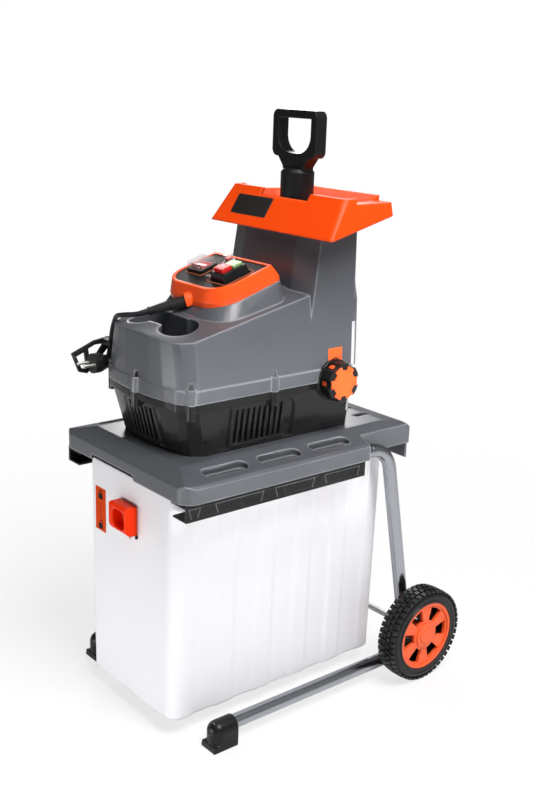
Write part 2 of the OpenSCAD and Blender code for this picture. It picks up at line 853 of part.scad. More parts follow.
module bin_lock() {
    z_shank = lock_bottom + 8;
    inside = bin_front + bin_wall + clear;
    color([0.85, 0.13, 0.07]) difference() {
        union() {
            // body: rounded below, bevelled above
            translate([-lock_w / 2, 0, 0]) rotate([90, 0, 90]) linear_extrude(lock_w)
                polygon([
                    [lock_back, lock_bottom], [lock_front + 4, lock_bottom + 2],
                    [lock_front, lock_bottom + 7],
                    [lock_front, lock_top - 12], [lock_front + 8, lock_top], [lock_back, lock_top]
                ]);
            // shank through the bin's front, and the tongue that runs up inside it
            box([-shank_w / 2, lock_back - 1, z_shank], [shank_w / 2, inside + tongue_t, z_shank + shank_h]);
            box([-tongue_w / 2, inside, z_shank], [tongue_w / 2, inside + tongue_t, tongue_top]);
        }
        // finger pocket, open to the front
        translate([-5, lock_front - 1, lock_bottom + lock_h * 0.42]) rotate([-90, 0, 0])
            linear_extrude(lock_d - 5) round_rect(28, 25, 8);
    }
}

switch_z = lip_bottom + 9;
switch_top = lip_bottom + 20;

module safety_switch() {
    color([0.15, 0.15, 0.17]) difference() {
        box([-12, plunger_y - 8, switch_z], [12, plunger_y + 9, switch_top]);
        translate([0, plunger_y, switch_z - 1]) cylinder(h = 9, r = plunger_r + fit);
    }
}

module switch_plunger() {
    color("red") translate([0, plunger_y, 0]) {
        translate([0, 0, tongue_top + clear]) cylinder(h = switch_z + 6 - tongue_top, r = plunger_r);
        translate([0, 0, tongue_top + clear]) cylinder(h = 3, r = plunger_r + 1.5);
    }
}

// Housing

// Plan of the housing: a bowed nose, two bevels round each front corner, straight sides
module house_plan(half_w, front, rear) {
    nose_x = half_w - corner_cut;
    bow = [for (i = [-4:4]) [i * nose_x / 4, front + nose_bow * i * i / 16]];
    polygon(concat(bow, [
        [half_w - corner_cut / 2, front + corner_in], [half_w, front + 2 * corner_in], [half_w, rear - 6],
        [half_w - 6, rear], [6 - half_w, rear], [-half_w, rear - 6], [-half_w, front + 2 * corner_in],
        [corner_cut / 2 - half_w, front + corner_in]
    ]));
}

// Lower tub, drawn in towards its foot; inset 0 is the outside
module lower_tub(inset) {
    rear = house_rear - inset;
    hull() {
        slab(deck_z + inset, deck_z + inset + 1) house_plan(foot_x - inset, foot_front + inset, rear);
        slab(parting_z - 1 + inset, parting_z + inset)
            house_plan(house_x - 1 - inset, house_front + 1 + inset, rear);
    }
}

// Grille on a drawn-in wall: an arched recess, leaving a panel that is pierced by upright slots
module grille_cut(slots, arch_w, h, depth) {
    pitch = 10.5;
    slot_w = 5.5;
    panel_w = slots * pitch + 8;
    r = (arch_w - panel_w) / 2;
    // hollows beside the pierced panel, round at their upper outer corners
    for (s = [-1, 1]) mirrored(s) translate([0, 0, -depth]) linear_extrude(depth + 8) {
        translate([panel_w / 2, -h]) square([r, h - r]);
        intersection() {
            translate([panel_w / 2, -r]) circle(r);
            translate([panel_w / 2, -r]) square(r);
        }
    }
    for (i = [0:slots - 1])
        translate([(i + 0.5 - slots / 2) * pitch - slot_w / 2, -h + 5, -12]) cube([slot_w, h - 9, 24]);
}

module lower_housing() {
    side_a = atan(lower_draw / lower_h);
    front_a = atan(front_draw / lower_h);
    grille_top = parting_z - band_h - 4;
    grille_h = grille_top - deck_z - 4;
    grille_x = house_x - 1 - (parting_z - grille_top) * tan(side_a);
    grille_y = house_front + 1 + (parting_z - grille_top) * tan(front_a);
    hollow = house_wall * 0.7;
    color([0.11, 0.11, 0.12]) difference() {
        union() {
            lower_tub(0);
            slab(parting_z - band_h, parting_z) house_plan(house_x, house_front, house_rear);
            for (p = post_spots)
                translate([p[0], p[1], parting_z - post_h]) cylinder(h = post_h, r = post_r);
            // round base of the knob
            translate([0, knob_y, knob_z]) along_x(house_x - 12, boss_face, boss_r);
        }
        difference() {
            union() {
                lower_tub(house_wall);
                slab(parting_z - band_h + house_wall, parting_z + 1)
                    house_plan(house_x - house_wall, house_front + house_wall, house_rear - house_wall);
                translate([0, knob_y, knob_z])
                    along_x(house_x - 20, boss_face - house_wall, boss_r - house_wall);
            }
            // the posts run down inside as well
            for (p = post_spots)
                translate([p[0], p[1], parting_z - post_h]) cylinder(h = post_h, r = post_r);
        }
        // grilles on both sides and in front
        for (side = [-1, 1]) mirrored(side)
            translate([grille_x, house_front + 148, grille_top]) rotate([0, side_a, 0]) rotate([90, 0, 90])
                grille_cut(side_slots, 140, grille_h, hollow);
        translate([0, grille_y, grille_top]) rotate([90 + front_a, 0, 0])
            grille_cut(front_slots, 96, grille_h, hollow);
        // outlet, screw hole and pilot holes in the posts
        box([unit_left + 6, throat_front, deck_z - 1],
            [unit_right - 6, throat_front + throat_l, deck_z + 10]);
        translate([0, knob_y, knob_z]) along_x(house_x - 20, boss_face + 1, screw_r + 1);
        for (p = post_spots)
            translate([p[0], p[1], parting_z - 18]) cylinder(h = 19, r = 2.1);
    }
}

// Body of the upper housing: cross-sections joined by one skin; inset 0 is the outside
module upper_body(inset) {
    function top_at(y) = nose_z + (y - ridge_y) * top_rise - inset;
    function crown(x) = crown_h * (1 - pow(x / (house_x - ridge_in), 2));
    z0 = parting_z + flange_h - 2 - inset;
    front = house_front + 1 + inset;
    // section of the nose, and section further back with a crease and a ridge on each side
    module nose_cross(y, half) {
        x0 = half - inset;
        x1 = x0 * nose_lean;
        translate([0, y + 1, 0]) rotate([90, 0, 0]) linear_extrude(1) polygon(concat(
            [[-x0, z0], [x0, z0]], [for (i = [4:-1:-4]) [i * x1 / 4, top_at(y) + crown(i * x1 / 4)]]));
    }
    module full_cross(y, half) {
        x0 = half - inset;
        x1 = x0 - ridge_in;
        crease = top_at(y) - nose_h + crease_h;
        translate([0, y + 1, 0]) rotate([90, 0, 0]) linear_extrude(1) polygon(concat(
            [[-x0, z0], [x0, z0], [x0 - crease_in, crease]],
            [for (i = [5:-1:-5]) [i * x1 / 5, top_at(y) + crown(i * x1 / 5)]], [[crease_in - x0, crease]]));
    }
    hull() {
        nose_cross(front, house_x * 0.3);
        nose_cross(front + nose_bow * 0.4, house_x * 0.58);
        nose_cross(front + nose_bow, house_x - corner_cut);
        full_cross(front + corner_in, house_x - 1 - corner_cut / 2);
        full_cross(front + 2 * corner_in, house_x - 1);
        full_cross(house_rear - 1 - inset, house_x - 1);
    }
}

module column_skin(inset, z_top) {
    module ring(z, half_w, front) {
        slab(z - 1, z)
            cut_corner_rect(half_w - inset, front + inset, house_rear - inset, column_cut_x, column_cut_y, 6);
    }
    // straight up to the hopper's skirt, then drawn back under it
    hull() {
        ring(column_foot_z + 1, house_x - 3, column_front_foot);
        ring(column_z - 23, column_top_x + 1, column_front_neck);
        ring(z_top, column_top_x, column_front_top);
    }
}

// Outline of the control box: wide round corners in front, small ones behind
module ctl_outline(in_x, in_y) {
    w = ctl_w - 2 * in_x;
    l = ctl_l - 2 * in_y;
    rf = ctl_r_front - (in_x + in_y) / 2;
    rr = max(ctl_r_rear - (in_x + in_y) / 2, 3);
    translate([-w / 2, rf - l / 2]) square([w, l - rf - rr]);
    translate([rf - w / 2, -l / 2]) square([w - 2 * rf, l / 2]);
    translate([rr - w / 2, 0]) square([w - 2 * rr, l / 2]);
    for (s = [-1, 1]) {
        translate([s * (w / 2 - rf), rf - l / 2]) circle(rf);
        translate([s * (w / 2 - rr), l / 2 - rr]) circle(rr);
    }
}

// The control box's own frame: origin in the bezel's foot, Z square to the panel
module on_control() {
    translate([0, ctl_y, ctl_z]) rotate([ctl_tilt, 0, 0]) children();
}

// Frame along the strain relief boot, Z from its root to its tip
module on_boot() {
    translate(boot_root) rotate([0, 0, boot_turn])
        rotate([90 + atan(boot_drop / boot_reach), 0, 0]) children();
}

// Pedestal: flares from the bezel's foot down to the housing's top
module pedestal() {
    flare = 11;
    hull() {
        on_control() translate([0, 0, -1]) linear_extrude(1) ctl_outline(0, 0, $fn = 32);
        translate([0, ctl_y - 6, ctl_z - pedestal_h]) rotate([top_slope, 0, 0]) linear_extrude(1)
            ctl_outline(-flare, -flare, $fn = 32);
    }
}

bowl_y = house_front + 46;
bowl_x = 41;
bowl_floor = nose_z - bowl_depth;

// Storage bowl: two round pockets joined by a narrower middle
module bowl(grow, z0, z1) {
    slab(z0, z1) {
        translate([bowl_x, bowl_y]) circle(bowl_r + grow);
        translate([-bowl_x, bowl_y]) circle(bowl_r - 2 + grow);
        translate([0, bowl_y + 7]) square([2 * bowl_x, 2 * (bowl_r + grow) - 22], center = true);
    }
}

module upper_housing() {
    color([0.36, 0.38, 0.41]) difference() {
        union() {
            difference() {
                union() {
                    upper_body(0);
                    column_skin(0, column_z);
                    slab(parting_z, parting_z + flange_h)
                        house_plan(house_x + 1, house_front - 1, house_rear);
                    pedestal();
                    for (p = post_spots)
                        translate([p[0], p[1], parting_z]) cylinder(h = post_h, r = post_r);
                }
                difference() {
                    union() {
                        upper_body(house_wall);
                        column_skin(house_wall, column_z + 1);
                        slab(parting_z - 1, parting_z + flange_h + 1) house_plan(
                            house_x - house_wall, house_front + house_wall, house_rear - house_wall);
                        on_control() translate([0, 0, -40]) linear_extrude(42) ctl_outline(6, 8);
                    }
                    for (p = post_spots)
                        translate([p[0], p[1], parting_z]) cylinder(h = post_h, r = post_r);
                }
            }
            // walls of the storage bowl
            intersection() {
                bowl(3, bowl_floor - 3, nose_z + 40);
                upper_body(1);
            }
        }
        bowl(0, bowl_floor, nose_z + 60);
        // room for the knob's round base
        translate([0, knob_y, knob_z]) along_x(house_x - 20, house_x + 20, boss_r + clear);
        // screws sit deep in the posts
        for (p = post_spots) translate([p[0], p[1], 0]) {
            translate([0, 0, parting_z - 1]) cylinder(h = post_h + 2, r = 2.1);
            translate([0, 0, parting_z + 8]) cylinder(h = post_h, r = 4.6);
        }
        // way out for the boot
        on_boot() translate([0, 0, -16]) cylinder(h = 60, r = boot_big_r + 1);
    }
}

module housing_screws() {
    color([0.2, 0.2, 0.2]) for (p = post_spots) translate([p[0], p[1], 0]) {
        translate([0, 0, parting_z + 8 - post_h]) cylinder(h = post_h, r = 2);
        translate([0, 0, parting_z + 8]) cylinder(h = 3, r = 4);
    }
}

// Hopper, chute and pusher

rim_front = hopper_front + skirt_h * 0.62;
hopper_rim = hopper_z + skirt_h * 0.52;

module hopper() {
    x0 = hopper_w / 2;
    x1 = x0 - 12;
    skirt_z = hopper_rim - skirt_h;
    module flare(inset, z0, z1, front_in) {
        hull() {
            slab(z0, z0 + 1) translate([0, (hopper_front + hopper_rear) / 2])
                round_rect(hopper_w - 2 * inset, hopper_rear - hopper_front - 2 * inset, 6);
            slab(z1 - 1, z1) translate([0, (rim_front + front_in + hopper_rear) / 2])
                round_rect(2 * x1 - 2 * inset, hopper_rear - rim_front - front_in - 2 * inset, 10);
        }
    }
    throat_x = throat_w / 2;
    color("orangered") difference() {
        union() {
            difference() {
                flare(0, skirt_z, hopper_rim, 0);
                // hollow below a flat ceiling
                intersection() {
                    translate([0, 0, -hopper_wall]) flare(hopper_wall, skirt_z, hopper_rim, 0);
                    slab(skirt_z - 5, hopper_z) square(600, center = true);
                }
            }
            // neck into the chute
            box([-throat_x - neck_wall, throat_front - neck_wall, hopper_z - neck_l],
                [throat_x + neck_wall, throat_front + throat_l + neck_wall, hopper_z + 1]);
        }
        // funnel inside
        hull() {
            slab(hopper_z + 4, hopper_z + 5) translate([0, throat_mid])
                round_rect(throat_w + 34, throat_l + 6, 12);
            slab(hopper_rim, hopper_rim + 1) translate([0, (rim_front + hopper_rear) / 2 + 1])
                round_rect(2 * x1 - 8, hopper_rear - rim_front - 10, 10);
        }
        box([-throat_x, throat_front, hopper_z - neck_l - 1],
            [throat_x, throat_front + throat_l, hopper_rim]);
        // side walls step down behind the front
        for (s = [-1, 1]) mirrored(s)
            box([x1 - 30, rim_front + 22, hopper_rim - 8], [x0 + 5, hopper_rear + 5, hopper_rim + 5]);
        // lower edges rise towards the rear
        translate([-hopper_w, hopper_front + 4, skirt_z]) rotate([13.5, 0, 0])
            translate([0, -skirt_h, -skirt_h]) cube([2 * hopper_w, hopper_w, skirt_h]);
    }
}

module feed_chute() {
    x = throat_w / 2;
    color([0.13, 0.13, 0.13]) difference() {
        box([-x - chute_wall, throat_front - chute_wall, unit_top],
            [x + chute_wall, throat_front + throat_l + chute_wall, chute_top]);
        box([-x, throat_front, unit_top - 1], [x, throat_front + throat_l, chute_top + 1]);
    }
}

module pusher() {
    seat = hopper_z + 4 + clear;
    plate_l = throat_l - 2;
    collar_top = hopper_rim + collar_d * 0.54;
    grip_bottom = collar_top + 16;
    grip_top = grip_bottom + grip_h;
    grip_bar = 12;
    hole_r = grip_w / 2 - grip_bar;
    block_bottom_z = seat - 170;
    color([0.07, 0.07, 0.07]) translate([0, throat_mid, 0]) {
        // block that fills the throat, with wings resting beside its mouth
        slab(block_bottom_z, seat + 2) round_rect(throat_w - 6, plate_l - 4, 5);
        slab(seat, seat + 4) translate([0, 8]) round_rect(throat_w + 24, throat_l - 18, 8);
        translate([0, 0, seat + 3]) cylinder(h = collar_top - seat - 3, d = collar_d);
        translate([0, 0, collar_top - eps]) cylinder(h = 5, d1 = collar_d, d2 = collar_d - 8);
        // D grip: a flat outline with a round-bottomed opening
        translate([0, grip_t / 2, 0]) rotate([90, 0, 0]) linear_extrude(grip_t) difference() {
            union() {
                translate([0, (grip_bottom + grip_top) / 2 + 3]) round_rect(grip_w, grip_h - 6, 11);
                polygon([
                    [-22, collar_top - 6], [22, collar_top - 6], [24, collar_top + 8],
                    [grip_w / 2 - 8, grip_bottom + 14], [8 - grip_w / 2, grip_bottom + 14],
                    [-24, collar_top + 8]
                ]);
            }
            // opening: straight above, half round below
            intersection() {
                translate([0, grip_bottom + grip_bar + grip_h / 2])
                    round_rect(2 * hole_r, grip_h, hole_r * 0.72);
                translate([-hole_r, grip_bottom]) square([2 * hole_r, grip_h - grip_bar]);
            }
        }
    }
}

// Cutting unit

module cutter_frame() {
    color([0.66, 0.67, 0.69]) difference() {
        union() {
            box([unit_left, unit_front, unit_floor], [unit_right, unit_rear, unit_top]);
            translate([0, knob_y, knob_z]) along_x(unit_right - 1, unit_right + 8, screw_r + 8);
        }
        box([unit_left + 6, throat_front, unit_floor - 1],
            [unit_right - 6, throat_front + throat_l, unit_top + 1]);
        translate([drum_x, 0, drum_z]) along_y(unit_front - 1, unit_rear + 1, bearing_r + fit);
        translate([0, knob_y, knob_z]) along_x(unit_right - 10, unit_right + 20, screw_r + fit);
    }
    // ledges that carry the counter plate
    color([0.66, 0.67, 0.69]) for (y = [throat_front - 1, throat_front + throat_l - 5])
        box([plate_x - 1, y, plate_z0 - 6], [unit_right - 5, y + 6, plate_z0 - clear]);
}

module cutting_drum() {
    step = 360 / drum_teeth;
    root_r = drum_r - drum_tooth_h;
    y0 = throat_mid - drum_l / 2;
    color([0.5, 0.51, 0.53]) translate([drum_x, y0, drum_z]) difference() {
        rotate([-90, 0, 0]) linear_extrude(drum_l) union() {
            circle(root_r);
            // hooked teeth with a steep cutting face
            for (i = [0:drum_teeth - 1]) rotate(i * step)
                polygon([
                    [root_r - 3, -9], [root_r + 2, -8], [drum_r - 0.6, 3],
                    [drum_r - 0.4, 6.5], [root_r - 2, 6]
                ]);
        }
        along_y(-1, drum_l + 1, shaft_r + fit);
        // rings that break the teeth into blades
        for (k = [1:3])
            translate([0, k * drum_l / 4, 0]) difference() {
                along_y(-1, 1, drum_r + 2);
                along_y(-2, 2, root_r + 1);
            }
    }
}

module drum_shaft() {
    color("silver") translate([drum_x, 0, drum_z]) {
        along_y(slow_y - 2, unit_rear - 0.5, shaft_r);
    }
}

module drum_bearings() {
    color([0.75, 0.75, 0.77]) for (y = [unit_front, unit_rear - unit_wall])
        translate([drum_x, y, drum_z]) difference() {
            along_y(0.3, unit_wall - 0.3, bearing_r);
            along_y(-1, unit_wall + 1, shaft_r + fit);
        }
}

module counter_plate() {
    y0 = throat_front + clear;
    y1 = throat_front + throat_l - clear;
    color([0.55, 0.55, 0.57]) difference() {
        union() {
            box([plate_x, y0, plate_z0], [plate_x + plate_t, y1, plate_z0 + plate_h]);
            translate([0, knob_y, knob_z])
                along_x(plate_x + plate_t - 1, plate_x + plate_t + plate_boss_l, plate_boss_r);
        }
        // face hollowed to the drum's sweep
        translate([drum_x, 0, drum_z]) along_y(y0 - 1, y1 + 1, drum_r + plate_gap + 1.2);
        translate([0, knob_y, knob_z])
            along_x(screw_tip - 4, plate_x + plate_t + plate_boss_l + 1, screw_r + fit);
    }
}

module adjusting_screw() {
    color("silver") translate([0, knob_y, knob_z]) {
        along_x(screw_tip + 2, boss_face + 14, screw_r);
        along_x(unit_right + 8 + clear, unit_right + 12, screw_r + 4);
    }
}

module knob_grip() {
    x0 = boss_face + clear;
    color([0.08, 0.08, 0.08]) translate([0, knob_y, knob_z]) difference() {
        along_x(x0, x0 + knob_t, knob_r);
        // scallops for the fingers
        for (i = [0:5]) rotate([i * 60 + 30, 0, 0])
            translate([0, 0, knob_r + 9]) along_x(x0 - 1, x0 + knob_t + 1, 13);
        along_x(x0 - 1, boss_face + 14, screw_r + fit);
        along_x(x0 + knob_t - 2, x0 + knob_t + 1, knob_r - 12);
    }
}

module knob_cap() {
    x0 = boss_face + clear + knob_t - 2;
    star_out = knob_r - 4.5;
    star_in = knob_r - 12.2;
    color("orangered") translate([x0, knob_y, knob_z]) rotate([90, 0, 90]) {
        linear_extrude(4) circle(star_in);
        translate([0, 0, 2]) linear_extrude(2) union() {
            circle(star_in);
            for (i = [0:5]) rotate(i * 60) polygon([
                [star_in - 6, -9], [star_out - 2, -4.5], [star_out, -2], [star_out, 2], [star_out - 2, 4.5],
                [star_in - 6, 9]
            ]);
        }
    }
}

// Drive

// Spur gear with straight-sided teeth, one tooth centred on the +X axis, about Z
module gear(teeth, size, w, bore) {
    step = 360 / teeth;
    pitch_r = size * teeth / 2;
    linear_extrude(w) difference() {
        polygon([for (i = [0:teeth - 1], k = [0:3])
            let(
                r = pitch_r + size * [-1.2, 0.75, 0.75, -1.2][k],
                a = (i + [-0.27, -0.1, 0.1, 0.27][k]) * step
            ) [r * cos(a), r * sin(a)]]);
        circle(bore);
    }
}

// Gear on a shaft along Y, turned by an angle measured from +X towards +Z
module gear_at(x, y, z, turn, teeth, size, w, bore) {
    translate([x, y + w, z]) rotate([90, 0, 0]) rotate(turn) gear(teeth, size, w, bore);
}

module gearbox_case() {
    color([0.62, 0.63, 0.65]) difference() {
        box([case_left, case_front, case_bottom], [case_right, case_rear, case_top]);
        box([case_left + case_wall, case_front - 1, case_bottom + case_wall],
            [case_right - case_wall, case_rear - case_wall, case_top - case_wall]);
        translate([drum_x, 0, drum_z]) along_y(case_rear - 10, case_rear + 1, shaft_r + fit);
        translate([lay_x, 0, lay_z]) along_y(case_rear - 10, case_rear - 1.5, lay_r + fit);
    }
}

module gearbox_cover() {
    color([0.6, 0.61, 0.63]) difference() {
        box([case_left, case_front - cover_t, case_bottom], [case_right, case_front, case_top]);
        translate([lay_x, 0, lay_z]) along_y(case_front - cover_t + 1.5, case_front + 1, lay_r + fit);
        translate([motor_x, 0, motor_z]) along_y(case_front - 10, case_front + 1, motor_shaft_r + fit);
    }
}

module output_gear() {
    color([0.5, 0.5, 0.52])
        gear_at(drum_x, slow_y, drum_z, lay_a, output_teeth, slow_module, gear_w, shaft_r + fit);
}

module intermediate_gear() {
    color([0.55, 0.55, 0.57]) {
        gear_at(lay_x, slow_y, lay_z, lay_a + 180 + 180 / second_pinion_teeth,
                second_pinion_teeth, slow_module, gear_w, 1);
        gear_at(lay_x, fast_y, lay_z, motor_a, first_gear_teeth, fast_module, gear_w, 1);
        translate([lay_x, 0, lay_z]) along_y(case_front - cover_t + 2, case_rear - 2, lay_r);
    }
}

module motor_can() {
    color([0.3, 0.31, 0.33]) translate([motor_x, 0, motor_z]) difference() {
        along_y(motor_front, motor_rear, motor_r);
        along_y(motor_front + can_wall, motor_rear - can_wall, motor_r - can_wall);
        along_y(motor_front - 1, motor_rear + 1, motor_shaft_r + fit);
        // cooling slots in both ends
        for (y = [motor_front - 1, motor_rear - can_wall - 1], i = [0:7]) rotate([0, i * 45, 0])
            translate([motor_r * 0.6, y, -5]) cube([12, can_wall + 2, 10]);
    }
    // foot under the can
    color([0.3, 0.31, 0.33])
        box([motor_x - foot_half, motor_front + foot_inset, unit_floor],
            [motor_x + foot_half, motor_rear - foot_inset, motor_z - motor_r + 1]);
}

module motor_stator() {
    color([0.45, 0.3, 0.2]) translate([motor_x, 0, motor_z]) difference() {
        along_y(motor_front + stator_inset, motor_rear - stator_inset, motor_r - can_wall - fit);
        along_y(motor_front + stator_inset - 1, motor_rear - stator_inset + 1, stator_in);
    }
}

module motor_rotor() {
    color([0.6, 0.6, 0.62]) {
        translate([motor_x, 0, motor_z]) {
            along_y(motor_front + 22, motor_rear - 22, rotor_r);
            along_y(motor_front - 20, fast_y + gear_w, motor_shaft_r);
        }
        gear_at(motor_x, fast_y, motor_z, motor_a + 180 + 180 / pinion_teeth,
                pinion_teeth, fast_module, gear_w, 1);
    }
}

module cooling_fan() {
    color([0.16, 0.16, 0.16]) translate([motor_x, motor_front - 16, motor_z]) difference() {
        union() {
            along_y(0, 3, 46);
            along_y(0, 14, 12);
            for (i = [0:8]) rotate([0, i * 40, 0]) translate([10, 2, -1.5]) cube([34, 11, 3]);
        }
        along_y(-1, 20, motor_shaft_r + fit);
    }
}

module capacitor() {
    color([0.2, 0.2, 0.22]) translate([cap_x, house_front + cap_back, unit_floor]) {
        cylinder(h = cap_h, r = cap_r);
        translate([0, 0, cap_h]) cylinder(h = cap_lid, r = cap_r - cap_lid);
    }
}

// Controls

module control_bezel() {
    color("orangered") difference() {
        union() {
            on_control() hull() {
                linear_extrude(7) ctl_outline(0, 0, $fn = 48);
                translate([0, 0, bezel_h - 1]) linear_extrude(1)
                    ctl_outline(bezel_in_x, bezel_in_y, $fn = 48);
            }
            // arch over the strain relief
            intersection() {
                on_boot() translate([0, 0, -16]) cylinder(h = 20, r = boot_big_r + 4);
                on_control() linear_extrude(bezel_h) square(2 * ctl_w, center = true);
            }
        }
        on_control() {
            translate([0, 0, -1]) linear_extrude(bezel_h * 0.66 + 1)
                ctl_outline(bezel_in_x + 2, bezel_in_y + 2);
            translate([0, 0, 1]) linear_extrude(bezel_h) ctl_outline(panel_in_x + 2, panel_in_y + 2);
            translate([0, 0, panel_z]) linear_extrude(bezel_h) ctl_outline(panel_in_x, panel_in_y);
        }
        on_boot() translate([0, 0, -30]) cylinder(h = 40, r = boot_big_r + fit);
    }
}

module control_panel() {
    color([0.1, 0.1, 0.1]) on_control() difference() {
        translate([0, 0, panel_z]) linear_extrude(panel_t) ctl_outline(panel_in_x + fit, panel_in_y + fit);
        translate([box_x - box_w / 2 + 4, box_y - box_l / 2 + 4, panel_z - 1])
            cube([box_w - 8, box_l - 8, 9]);
        translate([rocker_x - rocker_w / 2 + 3, rocker_y - rocker_l / 2 + 3, panel_z - 1])
            cube([rocker_w - 6, rocker_l - 6, 9]);
        translate([reset_x, reset_y, panel_z - 1]) cylinder(h = 9, r = reset_r + clear);
    }
}

module switch_box() {
    color([0.08, 0.08, 0.08]) on_control() difference() {
        union() {
            translate([box_x, box_y, top_z]) hull() {
                linear_extrude(1) round_rect(box_w, box_l, 4);
                translate([0, 0, box_h - 1]) linear_extrude(1) round_rect(box_w - 9, box_l - 5, 3);
            }
            translate([box_x - box_w / 2 + 4 + fit, box_y - box_l / 2 + 4 + fit, top_z - 24])
                cube([box_w - 8 - 2 * fit, box_l - 8 - 2 * fit, 25]);
        }
        for (y = [stop_y, start_y])
            translate([box_x - button_w / 2 - clear, y - button_l / 2 - clear, top_z - 6])
                cube([button_w + 2 * clear, button_l + 2 * clear, 40]);
    }
}

module push_button(y, h, tint) {
    color(tint) on_control() translate([box_x, y, top_z - 6 + button_travel + clear])
        linear_extrude(6 - button_travel - clear + box_h + h) round_rect(button_w, button_l, 2);
}

module stop_button() {
    push_button(stop_y, 6, "red");
}

module start_button() {
    push_button(start_y, button_travel + 0.5, "green");
}

module rocker_frame() {
    color([0.1, 0.1, 0.1]) on_control() difference() {
        union() {
            translate([rocker_x, rocker_y, top_z]) linear_extrude(5) round_rect(rocker_w, rocker_l, 2);
            translate([rocker_x - rocker_w / 2 + 3 + fit, rocker_y - rocker_l / 2 + 3 + fit, top_z - 20])
                cube([rocker_w - 6 - 2 * fit, rocker_l - 6 - 2 * fit, 21]);
        }
        translate([rocker_x - rocker_w / 2 + 5, rocker_y - rocker_l / 2 + 5, top_z - 9])
            cube([rocker_w - 10, rocker_l - 10, 30]);
        translate([rocker_x, rocker_y, top_z + 1]) along_x(-rocker_w / 2 + 3, rocker_w / 2 - 3, 2 + fit);
    }
}

module direction_rocker() {
    w = rocker_w - 10 - 2 * clear;
    l = rocker_l - 14;
    color("red") on_control() translate([rocker_x, rocker_y, top_z + 1]) {
        // saddle-shaped rocker on its pin
        translate([-w / 2, 0, 0]) rotate([90, 0, 90]) linear_extrude(w)
            polygon([[-l / 2, -2], [l / 2, -2], [l / 2, 6], [l / 6, 5], [-l / 6, 6.5], [-l / 2, 10]]);
        along_x(-rocker_w / 2 + 3 + clear, rocker_w / 2 - 3 - clear, 2);
    }
}

module rocker_cover() {
    t = 1.2;
    h = 15;
    color([0.85, 0.88, 0.9, 0.5]) on_control() translate([rocker_x, rocker_y, top_z + 5]) difference() {
        hull() {
            linear_extrude(1) round_rect(rocker_w - 1, rocker_l - 1, 3);
            translate([0, 0, h - 5]) linear_extrude(1) round_rect(rocker_w - 4, rocker_l - 4, 4);
        }
        translate([0, 0, -1]) linear_extrude(h - 4 - t)
            round_rect(rocker_w - 4 - 2 * t, rocker_l - 4 - 2 * t, 3);
    }
}

module reset_button() {
    color("red") on_control() translate([reset_x, reset_y, panel_z - 6]) {
        cylinder(h = panel_t + 6 + 7, r = reset_r - clear);
        cylinder(h = 3, r = reset_r + 2);
    }
}

module reset_cap() {
    color([0.85, 0.88, 0.9, 0.5]) on_control() translate([reset_x, reset_y, top_z]) difference() {
        union() {
            cylinder(h = 13, r = reset_r + 2.5);
            cylinder(h = 2, r = reset_r + 5);
        }
        translate([0, 0, -1]) cylinder(h = 12.5, r = reset_r + 1);
    }
}

// Lead

module strain_relief() {
    boot_l = norm(boot_tip - boot_root);
    color([0.06, 0.06, 0.06]) on_boot() {
        translate([0, 0, -14]) cylinder(h = 15, r = boot_big_r);
        cylinder(h = boot_l, r1 = boot_big_r, r2 = cord_r + 1.5);
        translate([0, 0, boot_l - 3]) cylinder(h = 3, r = cord_r + 3);
    }
}

// Tube swept along the cord's route: one ring of points square to the path at each place
function unit(v) = v / norm(v);
function ring(p, d) =
    let(s = unit(cross(d, [0, 1, 0])), u = cross(s, d), step = 360 / cord_sides)
    [for (k = [0:cord_sides - 1]) p + cord_r * (cos(k * step) * s + sin(k * step) * u)];

module swept(path) {
    n = len(path);
    dirs = [for (i = [0:n - 1]) unit(path[min(i + 1, n - 1)] - path[max(i - 1, 0)])];
    points = [for (i = [0:n - 1]) each ring(path[i], dirs[i])];
    m = cord_sides;
    sides = [for (i = [0:n - 2], k = [0:m - 1])
        let (a = i * m + k, b = i * m + (k + 1) % m)
        each [[a, b + m, b], [a, a + m, b + m]]];
    first_end = [for (k = [0:m - 1]) k];
    last_end = [for (k = [m - 1:-1:0]) (n - 1) * m + k];
    polyhedron(points, concat([first_end], sides, [last_end]));
}

module power_cord() {
    color([0.05, 0.05, 0.05]) swept(cord_route);
}

// Angled plug: the cord goes in from above, behind the round body
module plug() {
    rear_r = 10.5;
    flare_y = -8;
    body_y = -20;
    face_y = -34;
    color([0.06, 0.06, 0.06]) translate([cord_end[0], cord_end[1], plug_z]) {
        cylinder(h = cord_end[2] - plug_z, r1 = rear_r - 2, r2 = cord_r + 1);
        along_y(flare_y, rear_r - 3, rear_r);
        translate([0, rear_r - 3, 0]) rotate([-90, 0, 0]) cylinder(h = 3, r1 = rear_r, r2 = rear_r - 3);
        translate([0, flare_y, 0]) rotate([90, 0, 0])
            cylinder(h = flare_y - body_y, r1 = rear_r, r2 = plug_r);
        along_y(face_y, body_y, plug_r);
        for (s = [-1, 1]) translate([s * 9.5, 0, 0]) along_y(face_y - 19, face_y + 1, 2.4);
    }
}

// Flat loop that holds an extension lead, on a stub that grips the cord
module cord_hook() {
    color([0.07, 0.07, 0.07]) translate([hook_x, cord_end[1], cord_end[2]]) {
        translate([-hook_t, 0, 0]) rotate([90, 0, 90]) linear_extrude(hook_t) difference() {
            polygon([[9, 14], [-17, 10], [-57, -6], [-45, -36], [-31, -40], [3, -7], [9, -2]]);
            polygon([[-1, 4], [-17, 4], [-29, -1], [-25, -27]]);
            polygon([[-35, -5], [-50, -11], [-41, -31], [-31, -32]]);
        }
        box([-1, -5, 4], [plug_r + 8, 7, 13]);
    }
}

